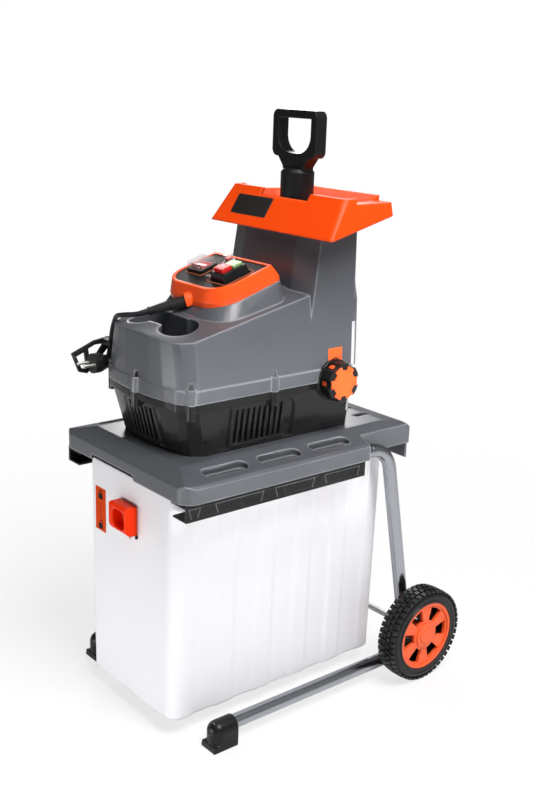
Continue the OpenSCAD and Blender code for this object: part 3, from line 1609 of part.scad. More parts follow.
platform();
rail(-1);  // rail_left
rail(1);  // rail_right
frame_tube(-1);  // frame_tube_left
frame_tube(1);  // frame_tube_right
foot(-1);  // foot_left
foot(1);  // foot_right
frame_bolts();
wheel_axle();
axle_spacers();
axle_clips();
tyre(-1);  // tyre_left
tyre(1);  // tyre_right
rim(-1);  // rim_left
rim(1);  // rim_right
hub_cap(-1);  // hub_cap_left
hub_cap(1);  // hub_cap_right
bin();
bin_lock();
safety_switch();
switch_plunger();
lower_housing();
upper_housing();
housing_screws();
hopper();
feed_chute();
pusher();
cutter_frame();
cutting_drum();
drum_shaft();
drum_bearings();
counter_plate();
adjusting_screw();
knob_grip();
knob_cap();
gearbox_case();
gearbox_cover();
output_gear();
intermediate_gear();
motor_can();
motor_stator();
motor_rotor();
cooling_fan();
capacitor();
control_bezel();
control_panel();
switch_box();
start_button();
stop_button();
rocker_frame();
direction_rocker();
rocker_cover();
reset_button();
reset_cap();
strain_relief();
power_cord();
plug();
cord_hook();
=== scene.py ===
import math

import bmesh
import bpy
from mathutils import Matrix, Vector


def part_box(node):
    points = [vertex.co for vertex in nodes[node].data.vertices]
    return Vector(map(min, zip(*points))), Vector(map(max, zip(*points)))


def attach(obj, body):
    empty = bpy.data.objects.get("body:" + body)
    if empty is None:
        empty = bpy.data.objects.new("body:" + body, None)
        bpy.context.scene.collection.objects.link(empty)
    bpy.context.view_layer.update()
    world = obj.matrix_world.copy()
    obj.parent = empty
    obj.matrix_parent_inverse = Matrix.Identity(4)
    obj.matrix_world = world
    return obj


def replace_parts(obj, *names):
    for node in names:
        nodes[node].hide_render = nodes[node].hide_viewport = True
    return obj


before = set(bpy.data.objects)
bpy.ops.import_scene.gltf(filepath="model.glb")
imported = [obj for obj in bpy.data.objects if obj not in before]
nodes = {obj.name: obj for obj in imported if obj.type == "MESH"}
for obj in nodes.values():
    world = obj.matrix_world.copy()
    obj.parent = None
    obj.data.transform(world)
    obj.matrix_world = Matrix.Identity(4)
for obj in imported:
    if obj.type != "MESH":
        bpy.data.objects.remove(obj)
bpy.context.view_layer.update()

# Photographer's camera: a short telephoto lens at chest height, looking at the front
# right corner of the machine, held with a slight roll.
camera_azimuth = 0.8693
camera_elevation = 0.2908
camera_roll = 0.0359
camera_distance = 1.7771
camera_target = Vector((0.0, 0.020, 0.450))
camera_back = Vector((math.sin(camera_azimuth) * math.cos(camera_elevation),
                      -math.cos(camera_azimuth) * math.cos(camera_elevation),
                      math.sin(camera_elevation)))
level_right = Vector((math.cos(camera_azimuth), math.sin(camera_azimuth), 0.0))
level_up = camera_back.cross(level_right)
camera_right = level_right * math.cos(camera_roll) + level_up * math.sin(camera_roll)
camera_up = level_up * math.cos(camera_roll) - level_right * math.sin(camera_roll)
camera_data = bpy.data.cameras.new("camera")
camera_data.lens = 49.47
camera_data.sensor_width = 36.0
camera_data.shift_x = -0.0054
camera_data.shift_y = 0.0094
camera = bpy.data.objects.new("camera", camera_data)
bpy.context.scene.collection.objects.link(camera)
camera.matrix_world = Matrix.Translation(camera_target + camera_back * camera_distance) @ Matrix(
    (camera_right, camera_up, camera_back)).transposed().to_4x4()
bpy.context.scene.camera = camera
bpy.context.scene.view_settings.view_transform = "Standard"

# Studio: a white paper floor and a white room behind it, as the camera and shiny surfaces see
# them, with a low grey room light on the object itself.
def set_inputs(node, values):
    for label, value in values.items():
        node.inputs[label].default_value = value


def add_node(tree, kind, values=None, **settings):
    node = tree.nodes.new(kind)
    for label, value in settings.items():
        setattr(node, label, value)
    set_inputs(node, values or {})
    return node


def wire(tree, *links):
    for source, leaving, target, entering in links:
        tree.links.new(source.outputs[leaving], target.inputs[entering])


world = bpy.data.worlds.new("white_room")
bpy.context.scene.world = world
world.use_nodes = True
room = world.node_tree
room_light = room.nodes["Background"]
set_inputs(room_light, {"Color": (0.95, 0.97, 1.0, 1.0), "Strength": 0.05})
room_white = add_node(room, "ShaderNodeBackground", {"Color": (1.0, 1.0, 1.0, 1.0)})
room_path = add_node(room, "ShaderNodeLightPath")
room_glossy = add_node(room, "ShaderNodeMath", operation="MULTIPLY")
room_way = add_node(room, "ShaderNodeTexCoord")
room_split = add_node(room, "ShaderNodeSeparateXYZ")
room_side = add_node(room, "ShaderNodeMapRange", {"From Min": -0.3, "From Max": 0.7,
                                                  "To Min": 0.04, "To Max": 0.32})
room_seen = add_node(room, "ShaderNodeMath", operation="MAXIMUM")
room_all = add_node(room, "ShaderNodeMath", operation="MAXIMUM")
room_mix = add_node(room, "ShaderNodeMixShader")
wire(room, (room_way, "Generated", room_split, "Vector"), (room_split, "X", room_side, "Value"),
     (room_side, "Result", room_glossy, 1), (room_path, "Is Glossy Ray", room_glossy, 0),
     (room_path, "Is Camera Ray", room_seen, 0), (room_path, "Is Transmission Ray", room_seen, 1),
     (room_seen, "Value", room_all, 0), (room_glossy, "Value", room_all, 1),
     (room_all, "Value", room_mix, "Fac"), (room_light, "Background", room_mix, 1),
     (room_white, "Background", room_mix, 2),
     (room_mix, "Shader", room.nodes["World Output"], "Surface"))


def mesh_of(name, form):
    mesh = bpy.data.meshes.new(name)
    form.to_mesh(mesh)
    form.free()
    return mesh


floor_form = bmesh.new()
floor_radius = 9.0
bmesh.ops.create_circle(floor_form, cap_ends=True, segments=96, radius=floor_radius)
floor_mesh = mesh_of("paper_floor", floor_form)
floor = bpy.data.objects.new("paper_floor", floor_mesh)
bpy.context.scene.collection.objects.link(floor)
paper = bpy.data.materials.new("white_paper")
paper.use_nodes = True
paper_tree = paper.node_tree
paper_body = paper_tree.nodes["Principled BSDF"]
set_inputs(paper_body, {"Base Color": (0.86, 0.86, 0.86, 1.0), "Roughness": 0.9,
                        "Specular IOR Level": 0.1})
paper_glow = add_node(paper_tree, "ShaderNodeEmission")
paper_path = add_node(paper_tree, "ShaderNodeLightPath")
paper_glossy = add_node(paper_tree, "ShaderNodeMath", {1: 0.3}, operation="MULTIPLY")
paper_seen = add_node(paper_tree, "ShaderNodeMath", operation="MAXIMUM")
paper_place = add_node(paper_tree, "ShaderNodeTexCoord")
paper_reach = add_node(paper_tree, "ShaderNodeVectorMath", operation="LENGTH")
paper_fade = add_node(paper_tree, "ShaderNodeMapRange",
                      {"From Min": 0.35, "From Max": 1.5, "To Min": 0.72, "To Max": 1.0},
                      interpolation_type="SMOOTHSTEP")
paper_share = add_node(paper_tree, "ShaderNodeMath", operation="MULTIPLY")
paper_mix = add_node(paper_tree, "ShaderNodeMixShader")
wire(paper_tree, (paper_path, "Is Glossy Ray", paper_glossy, 0),
     (paper_path, "Is Camera Ray", paper_seen, 0), (paper_glossy, "Value", paper_seen, 1),
     (paper_seen, "Value", paper_share, 0), (paper_place, "Object", paper_reach, 0),
     (paper_reach, "Value", paper_fade, "Value"), (paper_fade, "Result", paper_share, 1),
     (paper_share, "Value", paper_mix, "Fac"), (paper_body, "BSDF", paper_mix, 1),
     (paper_glow, "Emission", paper_mix, 2),
     (paper_mix, "Shader", paper_tree.nodes["Material Output"], "Surface"))
floor_mesh.materials.append(paper)


def soft_lamp(name, place, aim, size, power, spread=180, mirrored=True):
    lamp_data = bpy.data.lights.new(name, "AREA")
    lamp_data.shape = "RECTANGLE"
    lamp_data.size, lamp_data.size_y = size
    lamp_data.energy = power
    lamp_data.spread = math.radians(spread)
    lamp = bpy.data.objects.new(name, lamp_data)
    lamp.visible_glossy = mirrored
    lamp.location = place
    lamp.rotation_euler = (Vector(aim) - Vector(place)).to_track_quat("-Z", "Y").to_euler()
    bpy.context.scene.collection.objects.link(lamp)


machine_middle = (0, 0, 0.5)
soft_lamp("key_right", (1.65, -0.15, 2.95), machine_middle, (1.5, 1.5), 118)
soft_lamp("overhead", (0.0, -0.5, 2.9), machine_middle, (1.3, 1.3), 9)
soft_lamp("low_right", (1.8, -0.15, 0.10), (0.12, -0.05, 0.14), (1.2, 0.2), 0.42, spread=60,
          mirrored=False)
soft_lamp("strip_right", (2.2, 0.1, 0.36), (0.14, -0.05, 0.48), (0.9, 0.06), 1.0, spread=12,
          mirrored=False)
soft_lamp("low_front", (-0.3, -1.9, 0.10), (0, -0.25, 0.14), (1.2, 0.2), 1.75, spread=54)
soft_lamp("rim_left", (-2.0, 1.5, 1.6), machine_middle, (1.0, 1.4), 30)


# Moulded plastic: the skin that every plastic piece takes from its mould, with clouding in the
# colour, a fine spark-eroded grain, and slightly rounded corners that are paler, partly from wear and
# partly as a painted highlight along the edges.
def shader_group(name, inputs, outputs):
    group = bpy.data.node_groups.new(name, "ShaderNodeTree")
    for label, kind, value in inputs:
        group.interface.new_socket(label, in_out="INPUT", socket_type=kind).default_value = value
    for label, kind in outputs:
        group.interface.new_socket(label, in_out="OUTPUT", socket_type=kind)
    return group, group.nodes.new("NodeGroupInput"), group.nodes.new("NodeGroupOutput")


colour_kind, value_kind, vector_kind = "NodeSocketColor", "NodeSocketFloat", "NodeSocketVector"
moulded_skin, skin_in, skin_out = shader_group(
    "moulded_skin",
    [("Base", colour_kind, (0.1, 0.1, 0.1, 1)), ("Cloud", colour_kind, (0.1, 0.1, 0.1, 1)),
     ("Rubbed And Highlight", colour_kind, (0.3, 0.3, 0.3, 1)), ("Cloud Scale", value_kind, 9.0),
     ("Grain Scale", value_kind, 900.0), ("Grain Depth", value_kind, 0.0001),
     ("Smoothest", value_kind, 0.3), ("Roughest", value_kind, 0.45),
     ("Corner", value_kind, 0.0012), ("Wear And Highlight", value_kind, 0.3)],
    [("Color", colour_kind), ("Roughness", value_kind), ("Normal", vector_kind)])
skin_place = add_node(moulded_skin, "ShaderNodeTexCoord")
skin_cloud = add_node(moulded_skin, "ShaderNodeTexNoise", {"Detail": 4})
skin_grain = add_node(moulded_skin, "ShaderNodeTexNoise", {"Detail": 2})
skin_corner = add_node(moulded_skin, "ShaderNodeBevel", samples=6)
skin_face = add_node(moulded_skin, "ShaderNodeNewGeometry")
skin_lean = add_node(moulded_skin, "ShaderNodeVectorMath", operation="DOT_PRODUCT")
skin_edge = add_node(moulded_skin, "ShaderNodeMapRange", {"From Min": 0.985, "From Max": 0.80})
# Paler edge colour where the rounded normal leans away from the face: part wear, part painted
# highlight.
skin_wear_and_highlight = add_node(moulded_skin, "ShaderNodeMath", operation="MULTIPLY")
skin_tone = add_node(moulded_skin, "ShaderNodeMix", data_type="RGBA")
skin_rub_and_highlight = add_node(moulded_skin, "ShaderNodeMix", data_type="RGBA")
skin_rough = add_node(moulded_skin, "ShaderNodeMapRange", {"From Min": 0.35, "From Max": 0.65})
skin_bump = add_node(moulded_skin, "ShaderNodeBump", {"Strength": 0.5})
wire(moulded_skin, (skin_place, "Object", skin_cloud, "Vector"),
     (skin_place, "Object", skin_grain, "Vector"), (skin_in, "Cloud Scale", skin_cloud, "Scale"),
     (skin_in, "Grain Scale", skin_grain, "Scale"), (skin_in, "Corner", skin_corner, "Radius"),
     (skin_corner, "Normal", skin_lean, 0), (skin_face, "Normal", skin_lean, 1),
     (skin_lean, "Value", skin_edge, "Value"), (skin_edge, "Result", skin_wear_and_highlight, 0),
     (skin_in, "Wear And Highlight", skin_wear_and_highlight, 1), (skin_cloud, "Fac", skin_tone, "Factor"),
     (skin_in, "Base", skin_tone, "A"), (skin_in, "Cloud", skin_tone, "B"),
     (skin_wear_and_highlight, "Value", skin_rub_and_highlight, "Factor"), (skin_tone, "Result", skin_rub_and_highlight, "A"),
     (skin_in, "Rubbed And Highlight", skin_rub_and_highlight, "B"), (skin_cloud, "Fac", skin_rough, "Value"),
     (skin_in, "Smoothest", skin_rough, "To Min"), (skin_in, "Roughest", skin_rough, "To Max"),
     (skin_in, "Grain Depth", skin_bump, "Distance"), (skin_grain, "Fac", skin_bump, "Height"),
     (skin_corner, "Normal", skin_bump, "Normal"), (skin_rub_and_highlight, "Result", skin_out, "Color"),
     (skin_rough, "Result", skin_out, "Roughness"), (skin_bump, "Normal", skin_out, "Normal"))


def moulded(name, base, cloud, rubbed_and_highlight, rough, grain=(900, 0.0001), corner=0.0012, wear_and_highlight=0.3,
            shine=0.35, metal=0.0):
    material = bpy.data.materials.new(name)
    material.use_nodes = True
    tree = material.node_tree
    body = tree.nodes["Principled BSDF"]
    set_inputs(body, {"Specular IOR Level": shine, "Metallic": metal})
    skin = add_node(tree, "ShaderNodeGroup", {
        "Base": (*base, 1), "Cloud": (*cloud, 1), "Rubbed And Highlight": (*rubbed_and_highlight, 1), "Grain Scale": grain[0],
        "Grain Depth": grain[1], "Smoothest": rough[0], "Roughest": rough[1], "Corner": corner,
        "Wear And Highlight": wear_and_highlight}, node_tree=moulded_skin)
    wire(tree, (skin, "Color", body, "Base Color"), (skin, "Roughness", body, "Roughness"),
         (skin, "Normal", body, "Normal"))
    return material


def dress(material, *names):
    for name in names:
        nodes[name].data.materials.clear()
        nodes[name].data.materials.append(material)


# Mains lead: a short stiff rubber-sheathed tail that leaves the panel through a tapered boot,
# passes over the left shoulder of the housing and ends in an angled plug beside the lead hook.
rubber_tones = (0.010, 0.010, 0.011), (0.018, 0.018, 0.019), (0.07, 0.07, 0.07), (0.34, 0.48)
lead_black = moulded(
    "lead_rubber", *rubber_tones, grain=(1500, 0.00006), corner=0.0006, wear_and_highlight=0.1, shine=0.25)
cord_radius = 0.00375
boot_root = Vector((0.0, -0.147, 0.641594))
boot_tip = Vector((-0.0298722, -0.196716, 0.625594))
cord_route = [boot_tip, boot_tip + (boot_tip - boot_root) / 6, *(Vector(p) / 1000 for p in (
    (-45, -213, 620), (-57, -217, 618), (-70, -218, 615), (-82, -216, 612), (-93, -213, 607),
    (-102, -210, 599), (-110, -208, 588), (-116, -206, 578), (-120, -205, 567), (-122, -205, 558),
    (-122, -205, 552)))]


def smooth_line(points, steps):
    ends = [2 * points[0] - points[1], *points, 2 * points[-1] - points[-2]]
    line = []
    for a, b, c, d in zip(ends, ends[1:], ends[2:], ends[3:]):
        for i in range(steps):
            t = i / steps
            line.append(0.5 * (2 * b + (c - a) * t + (2 * a - 5 * b + 4 * c - d) * t * t
                               + (3 * b - a - 3 * c + d) * t ** 3))
    return [*line, points[-1].copy()]


def tube_mesh(name, line, radius, sides):
    form = bmesh.new()
    rings = []
    side = Vector((0, 0, 1)).cross(line[1] - line[0]).normalized()
    for i, point in enumerate(line):
        ahead = (line[min(i + 1, len(line) - 1)] - line[max(i - 1, 0)]).normalized()
        side = (side - ahead * side.dot(ahead)).normalized()
        up = ahead.cross(side)
        rings.append([form.verts.new(point + radius * (math.cos(2 * math.pi * k / sides) * side
                                                       + math.sin(2 * math.pi * k / sides) * up))
                      for k in range(sides)])
    for low, high in zip(rings, rings[1:]):
        for k in range(sides):
            form.faces.new((low[k], low[(k + 1) % sides], high[(k + 1) % sides], high[k])).smooth = True
    form.faces.new(rings[0][::-1])
    form.faces.new(rings[-1])
    return mesh_of(name, form)


def add_piece(name, mesh, body, slot, *materials):
    piece = bpy.data.objects.new(name, mesh)
    for material in materials:
        mesh.materials.append(material)
    bpy.context.scene.collection.objects.link(piece)
    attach(piece, body)
    return piece


cord_line = smooth_line(cord_route, 6)
cord_mesh = tube_mesh("lead_cord", cord_line, cord_radius, 20)
cord = add_piece("lead_cord", cord_mesh, "base", "soft_black", lead_black)
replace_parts(cord, "power_cord")


# Grip ribs: five rings round the plug's body, for pulling it out with a wet glove. They are
# one moulding with the plug's rubber.
def geometry_tree(name, inputs):
    tree = bpy.data.node_groups.new(name, "GeometryNodeTree")
    tree.interface.new_socket("Geometry", in_out="INPUT", socket_type="NodeSocketGeometry")
    tree.interface.new_socket("Geometry", in_out="OUTPUT", socket_type="NodeSocketGeometry")
    keys = {label: tree.interface.new_socket(label, in_out="INPUT", socket_type=kind).identifier
            for label, kind in inputs}
    return tree, tree.nodes.new("NodeGroupInput"), tree.nodes.new("NodeGroupOutput"), keys


def finish_tree(tree, grown, out, material):
    whole = add_node(tree, "GeometryNodeRealizeInstances")
    coat = add_node(tree, "GeometryNodeSetMaterial", {"Material": material})
    wire(tree, (grown, "Instances", whole, "Geometry"), (whole, "Geometry", coat, "Geometry"),
         (coat, "Geometry", out, "Geometry"))


def grow(name, tree, keys, values, spots, body, slot, material):
    seed_mesh = bpy.data.meshes.new(name + ".spots")
    seed_mesh.from_pydata([tuple(p) for p in spots], [], [])
    seed = bpy.data.objects.new(name + ".spots", seed_mesh)
    bpy.context.scene.collection.objects.link(seed)
    maker = seed.modifiers.new(name, "NODES")
    maker.node_group = tree
    for label, value in values.items():
        maker[keys[label]] = value
    seen = seed.evaluated_get(bpy.context.evaluated_depsgraph_get())
    mesh = bpy.data.meshes.new_from_object(seen)
    mesh.name = name
    seed.modifiers.remove(maker)
    bpy.data.objects.remove(seed)
    mesh.materials.clear()
    return add_piece(name, mesh, body, slot, material)


rib_tree, rib_in, rib_out, rib_keys = geometry_tree(
    "plug_ribs", [("Ring Radius", value_kind), ("Rib Radius", value_kind)])
rib_ring = add_node(rib_tree, "GeometryNodeCurvePrimitiveCircle", {"Resolution": 40})
rib_bar = add_node(rib_tree, "GeometryNodeCurvePrimitiveCircle", {"Resolution": 8})
rib_sweep = add_node(rib_tree, "GeometryNodeCurveToMesh")
rib_set = add_node(rib_tree, "GeometryNodeInstanceOnPoints", {"Rotation": (math.pi / 2, 0, 0)})
wire(rib_tree, (rib_in, "Ring Radius", rib_ring, "Radius"), (rib_in, "Rib Radius", rib_bar, "Radius"),
     (rib_ring, "Curve", rib_sweep, "Curve"), (rib_bar, "Curve", rib_sweep, "Profile Curve"),
     (rib_in, "Geometry", rib_set, "Points"), (rib_sweep, "Mesh", rib_set, "Instance"))
finish_tree(rib_tree, rib_set, rib_out, lead_black)
plug_x, first_rib, rib_pitch, plug_z = -0.122, -0.2275, 0.0025, 0.532
plug_ribs = grow("plug_ribs", rib_tree, rib_keys, {"Ring Radius": 0.01490, "Rib Radius": 0.0006},
                 [(plug_x, first_rib - rib_pitch * i, plug_z) for i in range(5)],
                 "base", "soft_black", lead_black)
dress(lead_black, "strain_relief", "cord_hook")

# Plug: soft black rubber moulded round two bright nickel pins. The pins start at the plug's
# face, so the metal begins where the moulding ends.
plug_coat = moulded(
    "plug_coat", *rubber_tones, grain=(1500, 0.00006), corner=0.0008, wear_and_highlight=0.1, shine=0.25)
plug_nodes = plug_coat.node_tree
plug_body = plug_nodes.nodes["Principled BSDF"]
plug_skin = plug_body.inputs["Base Color"].links[0].from_node
plug_place = add_node(plug_nodes, "ShaderNodeTexCoord")
plug_split = add_node(plug_nodes, "ShaderNodeSeparateXYZ")
plug_face, pin_nickel = -0.2391, (0.78, 0.76, 0.72, 1.0)
plug_front = add_node(plug_nodes, "ShaderNodeMath", {1: plug_face}, operation="LESS_THAN")
plug_tint = add_node(plug_nodes, "ShaderNodeMix", {"B": pin_nickel}, data_type="RGBA")
wire(plug_nodes, (plug_place, "Object", plug_split, "Vector"), (plug_split, "Y", plug_front, 0),
     (plug_front, "Value", plug_tint, "Factor"), (plug_skin, "Color", plug_tint, "A"),
     (plug_tint, "Result", plug_body, "Base Color"), (plug_front, "Value", plug_body, "Metallic"))
dress(plug_coat, "plug")

# Stand: two bent steel tubes with a satin silver coat, black moulded feet, a plain bright axle
# with plastic spacers and spring clips.
tube_silver = moulded(
    "tube_silver", (0.40, 0.41, 0.44), (0.33, 0.34, 0.37), (0.66, 0.67, 0.69), (0.14, 0.24),
    grain=(2500, 0.00002), corner=0.0004, wear_and_highlight=0.2, shine=0.5, metal=1.0)
bright_steel = moulded(
    "bright_steel", (0.55, 0.54, 0.52), (0.45, 0.44, 0.43), (0.8, 0.8, 0.8), (0.285, 0.36),
    grain=(1800, 0.00002), corner=0.0003, shine=0.5, metal=1.0)
black_satin = moulded(
    "black_satin", (0.006, 0.0063, 0.0066), (0.010, 0.0103, 0.0106), (0.08, 0.08, 0.08),
    (0.285, 0.36), corner=0.0022, shine=0.24)
dress(tube_silver, "frame_tube_left", "frame_tube_right")
dress(bright_steel, "wheel_axle", "frame_bolts", "axle_clips")
dress(black_satin, "axle_spacers")


# Feet: black caps moulded as a flat shoe with a round, domed socket that the tube end pushes
# into. The shoe's edges are rounded so that it slides over paving.
def lathe(form, profile, spot, sides, closed=False):
    turns = [2 * math.pi * k / sides for k in range(sides)]
    rings = [[form.verts.new(spot @ Vector((r * math.cos(a), r * math.sin(a), h)))
              for a in (turns if r else turns[:1])] for r, h in profile]
    for low, high in zip(rings, rings[1:] + (rings[:1] if closed else [])):
        for k in range(sides):
            n = (k + 1) % sides
            corners = [low[k % len(low)], low[n % len(low)], high[n % len(high)], high[k % len(high)]]
            form.faces.new(list(dict.fromkeys(corners))).smooth = True


def soft_block(form, low, high, draw, corner):
    middle = [(a + b) / 2 for a, b in zip(low, high)]
    half = [(b - a) / 2 for a, b in zip(low, high)]
    block = bmesh.ops.create_cube(form, size=1.0)["verts"]
    for vert in block:
        inset = (draw, draw, 0) if vert.co.z > 0 else (0, 0, 0)
        vert.co = [middle[i] + math.copysign(half[i] - inset[i], vert.co[i]) for i in range(3)]
    edges = {edge for vert in block for edge in vert.link_edges}
    bmesh.ops.bevel(form, geom=list(edges), offset=corner, segments=3, profile=0.5, affect="EDGES")


def solid_mesh(name, form, crease=0.6):
    bmesh.ops.recalc_face_normals(form, faces=form.faces[:])
    for edge in form.edges:
        if len(edge.link_faces) == 2 and edge.calc_face_angle() > crease:
            edge.smooth = False
    return mesh_of(name, form)


def add_solid(name, form, body, slot, *materials):
    return add_piece(name, solid_mesh(name, form), body, slot, *materials)


foot_low, foot_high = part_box("foot_right")
foot_middle = (foot_low[0] + foot_high[0]) / 2
side_step, top_step, shoe_overlap = 0.0008, 0.0002, 0.002
socket_radius = (foot_high[0] - foot_low[0]) / 2 - side_step
socket_height = foot_high[2] - socket_radius - top_step
foot_length = foot_high[1] - foot_low[1]
straight_length, dome_length = foot_length * 0.62, foot_length * 0.34
socket_line = ([(0, 0), (socket_radius, 0), (socket_radius, straight_length)]
               + [(socket_radius * math.cos(a), straight_length + dome_length * math.sin(a))
                  for a in map(math.radians, (15, 30, 45, 60, 75))]
               + [(0, straight_length + dome_length)])
shoe_half, shoe_height, shoe_draw, shoe_corner = 0.017, 0.010, 0.0008, 0.0014
both_sides = (("left", -1), ("right", 1))
for name, side in both_sides:
    middle, back = side * foot_middle, foot_high[1]
    foot = bmesh.new()
    lathe(foot, socket_line, Matrix.Translation((middle, back, socket_height))
          @ Matrix.Rotation(math.pi / 2, 4, "X"), 40)
    nose_line = [(middle + socket_radius * math.cos(a),
                  back - straight_length + dome_length * math.sin(a))
                 for a in map(math.radians, range(180, 361, 15))]
    nose_line += [(middle + socket_radius, back), (middle - socket_radius, back)]
    lower, upper = ([foot.verts.new((x, y, z)) for x, y in nose_line]
                    for z in (shoe_overlap, socket_height))
    for k in range(len(nose_line)):
        n = (k + 1) % len(nose_line)
        foot.faces.new((lower[k], lower[n], upper[n], upper[k])).smooth = True
    foot.faces.new(lower[::-1])
    foot.faces.new(upper)
    soft_block(foot, (middle - shoe_half, foot_low[1], 0.0), (middle + shoe_half, back, shoe_height),
               shoe_draw, shoe_corner)
    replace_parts(add_solid("tube_foot_" + name, foot, "base", "black_plastic", black_satin),
                "foot_" + name)

# Wheels: blow-moulded black tyres with four staggered rows of lugs, pressed on orange
# six-spoke rims with a snap-in cap over the axle end.
tyre_black = moulded(
    "tyre_black", (0.004, 0.004, 0.0043), (0.008, 0.008, 0.0085), (0.05, 0.05, 0.05), (0.285, 0.36),
    grain=(600, 0.00012), corner=0.0009, shine=0.28)
wheel_orange = moulded(
    "wheel_orange", (0.93, 0.125, 0.030), (0.86, 0.105, 0.022), (1.0, 0.30, 0.13), (0.32, 0.45),
    corner=0.0014)
tyre_line = [(r / 1000, h / 1000) for r, h in (
    (58.1, 0), (61.5, 0), (62.2, 1.2), (66.5, 1.2), (67.5, 0.3), (70.5, 0.6), (74.0, 2.6), (76.4, 6.0),
    (76.9, 9.0), (76.9, 28.0), (76.4, 31.0), (74.0, 34.4), (70.5, 36.4), (67.5, 36.7), (66.5, 35.8),
    (62.2, 35.8), (61.5, 37.0), (58.1, 37.0))]
lug_tree, lug_in, lug_out, lug_keys = geometry_tree(
    "tyre_lugs", [("Lug Width", value_kind), ("Lug Length", value_kind), ("Lug Height", value_kind),
                  ("Centre", vector_kind)])
lug_size = add_node(lug_tree, "ShaderNodeCombineXYZ")
lug_block = add_node(lug_tree, "GeometryNodeMeshCube")
lug_place = add_node(lug_tree, "GeometryNodeInputPosition")
lug_reach = add_node(lug_tree, "ShaderNodeVectorMath", operation="SUBTRACT")
lug_turn = add_node(lug_tree, "FunctionNodeAlignRotationToVector", axis="Z", pivot_axis="X")
lug_set = add_node(lug_tree, "GeometryNodeInstanceOnPoints")
wire(lug_tree, (lug_in, "Lug Width", lug_size, "X"), (lug_in, "Lug Length", lug_size, "Y"),
     (lug_in, "Lug Height", lug_size, "Z"), (lug_size, "Vector", lug_block, "Size"),
     (lug_place, "Position", lug_reach, 0), (lug_in, "Centre", lug_reach, 1),
     (lug_reach, "Vector", lug_turn, "Vector"), (lug_in, "Geometry", lug_set, "Points"),
     (lug_block, "Mesh", lug_set, "Instance"), (lug_turn, "Rotation", lug_set, "Rotation"))
finish_tree(lug_tree, lug_set, lug_out, tyre_black)
lug_count = 46
lug_rows = ((0.0052, 0.0768, 0), (0.0139, 0.0778, 0.5), (0.0231, 0.0778, 0), (0.0318, 0.0768, 0.5))


def wheel_spot(name, side):
    low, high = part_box("tyre_" + name)
    centre = (Vector(low) + Vector(high)) / 2
    inner_face = min(low[0], high[0], key=abs)
    return centre, inner_face, (Matrix.Translation((inner_face, centre.y, centre.z))
                                @ Matrix.Rotation(side * math.pi / 2, 4, "Y"))


for name, side in both_sides:
    wheel_centre, inner_face, inner_spot = wheel_spot(name, side)
    tyre = bmesh.new()
    lathe(tyre, tyre_line, inner_spot, 96, closed=True)
    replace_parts(add_solid("tyre_body_" + name, tyre, "wheel_" + name, "tyre_black", tyre_black),
                "tyre_" + name)
    lug_spots = [(inner_face + side * across, wheel_centre.y + radius * math.cos(turn),
                  wheel_centre.z + radius * math.sin(turn))
                 for across, radius, shift in lug_rows
                 for turn in (2 * math.pi * (i + shift) / lug_count for i in range(lug_count))]
    grow("tyre_lugs_" + name, lug_tree, lug_keys,
         {"Lug Width": 0.0074, "Lug Length": 0.0078, "Lug Height": 0.0040,
          "Centre": tuple(wheel_centre)},
         lug_spots, "wheel_" + name, "tyre_black", tyre_black)
dress(wheel_orange, "rim_left", "rim_right", "hub_cap_left", "hub_cap_right")

# Black liners of the wheels: a thin black sleeve inside each rim with a flange at its inner end,
# so the gaps between the spokes look dark.
liner_line = [(r / 1000, h / 1000) for r, h in (
    (52.9, 26.8), (52.0, 26.8), (52.0, 3.4), (50.0, 1.8), (18.5, 1.8), (18.5, 0.6), (50.8, 0.6),
    (52.9, 2.6))]
for name, side in both_sides:
    liner = bmesh.new()
    lathe(liner, liner_line, wheel_spot(name, side)[2], 96, closed=True)
    add_solid("wheel_liner_" + name, liner, "wheel_" + name, "tyre_black", tyre_black)

# Platform: one large satin grey moulding that carries the housing, with black channel rails
# screwed up under its lips for the bin to slide in.
# The high edge setting with a pale edge colour paints highlight lines along the platform's edges,
# beyond real wear.
deck_grey = moulded(
    "deck_grey", (0.060, 0.064, 0.072), (0.077, 0.082, 0.091), (0.44, 0.45, 0.48), (0.285, 0.36),
    grain=(700, 0.0001), corner=0.004, wear_and_highlight=0.62, shine=0.6)
dress(deck_grey, "platform")
dress(black_satin, "rail_left", "rail_right", "safety_switch", "switch_plunger")


# Rail panels: thin raised ribs frame the sunk panels along the outside of each rail; the ribs
# and their edges are coloured paler as a painted highlight where they catch the light.
def sign_frame(centre, across, up):
    across, up = Vector(across).normalized(), Vector(up).normalized()
    return Matrix.Translation(centre) @ Matrix((across, up, across.cross(up))).transposed().to_4x4()


def raise_sign(form, spot, outline, low, high, slot=0):
    count = len(outline)
    lower = [form.verts.new(spot @ Vector((x, y, low))) for x, y in outline]
    upper = [form.verts.new(spot @ Vector((x, y, high))) for x, y in outline]
    faces = [form.faces.new(upper), form.faces.new(lower[::-1])]
    for i in range(count):
        n = (i + 1) % count
        faces.append(form.faces.new((lower[i], lower[n], upper[n], upper[i])))
    for face in faces:
        face.material_index = slot


def add_sign(name, form, body, slot, *materials):
    bmesh.ops.recalc_face_normals(form, faces=form.faces[:])
    bmesh.ops.triangulate(form, faces=[f for f in form.faces if len(f.verts) > 4])
    return add_piece(name, mesh_of(name, form), body, slot, *materials)
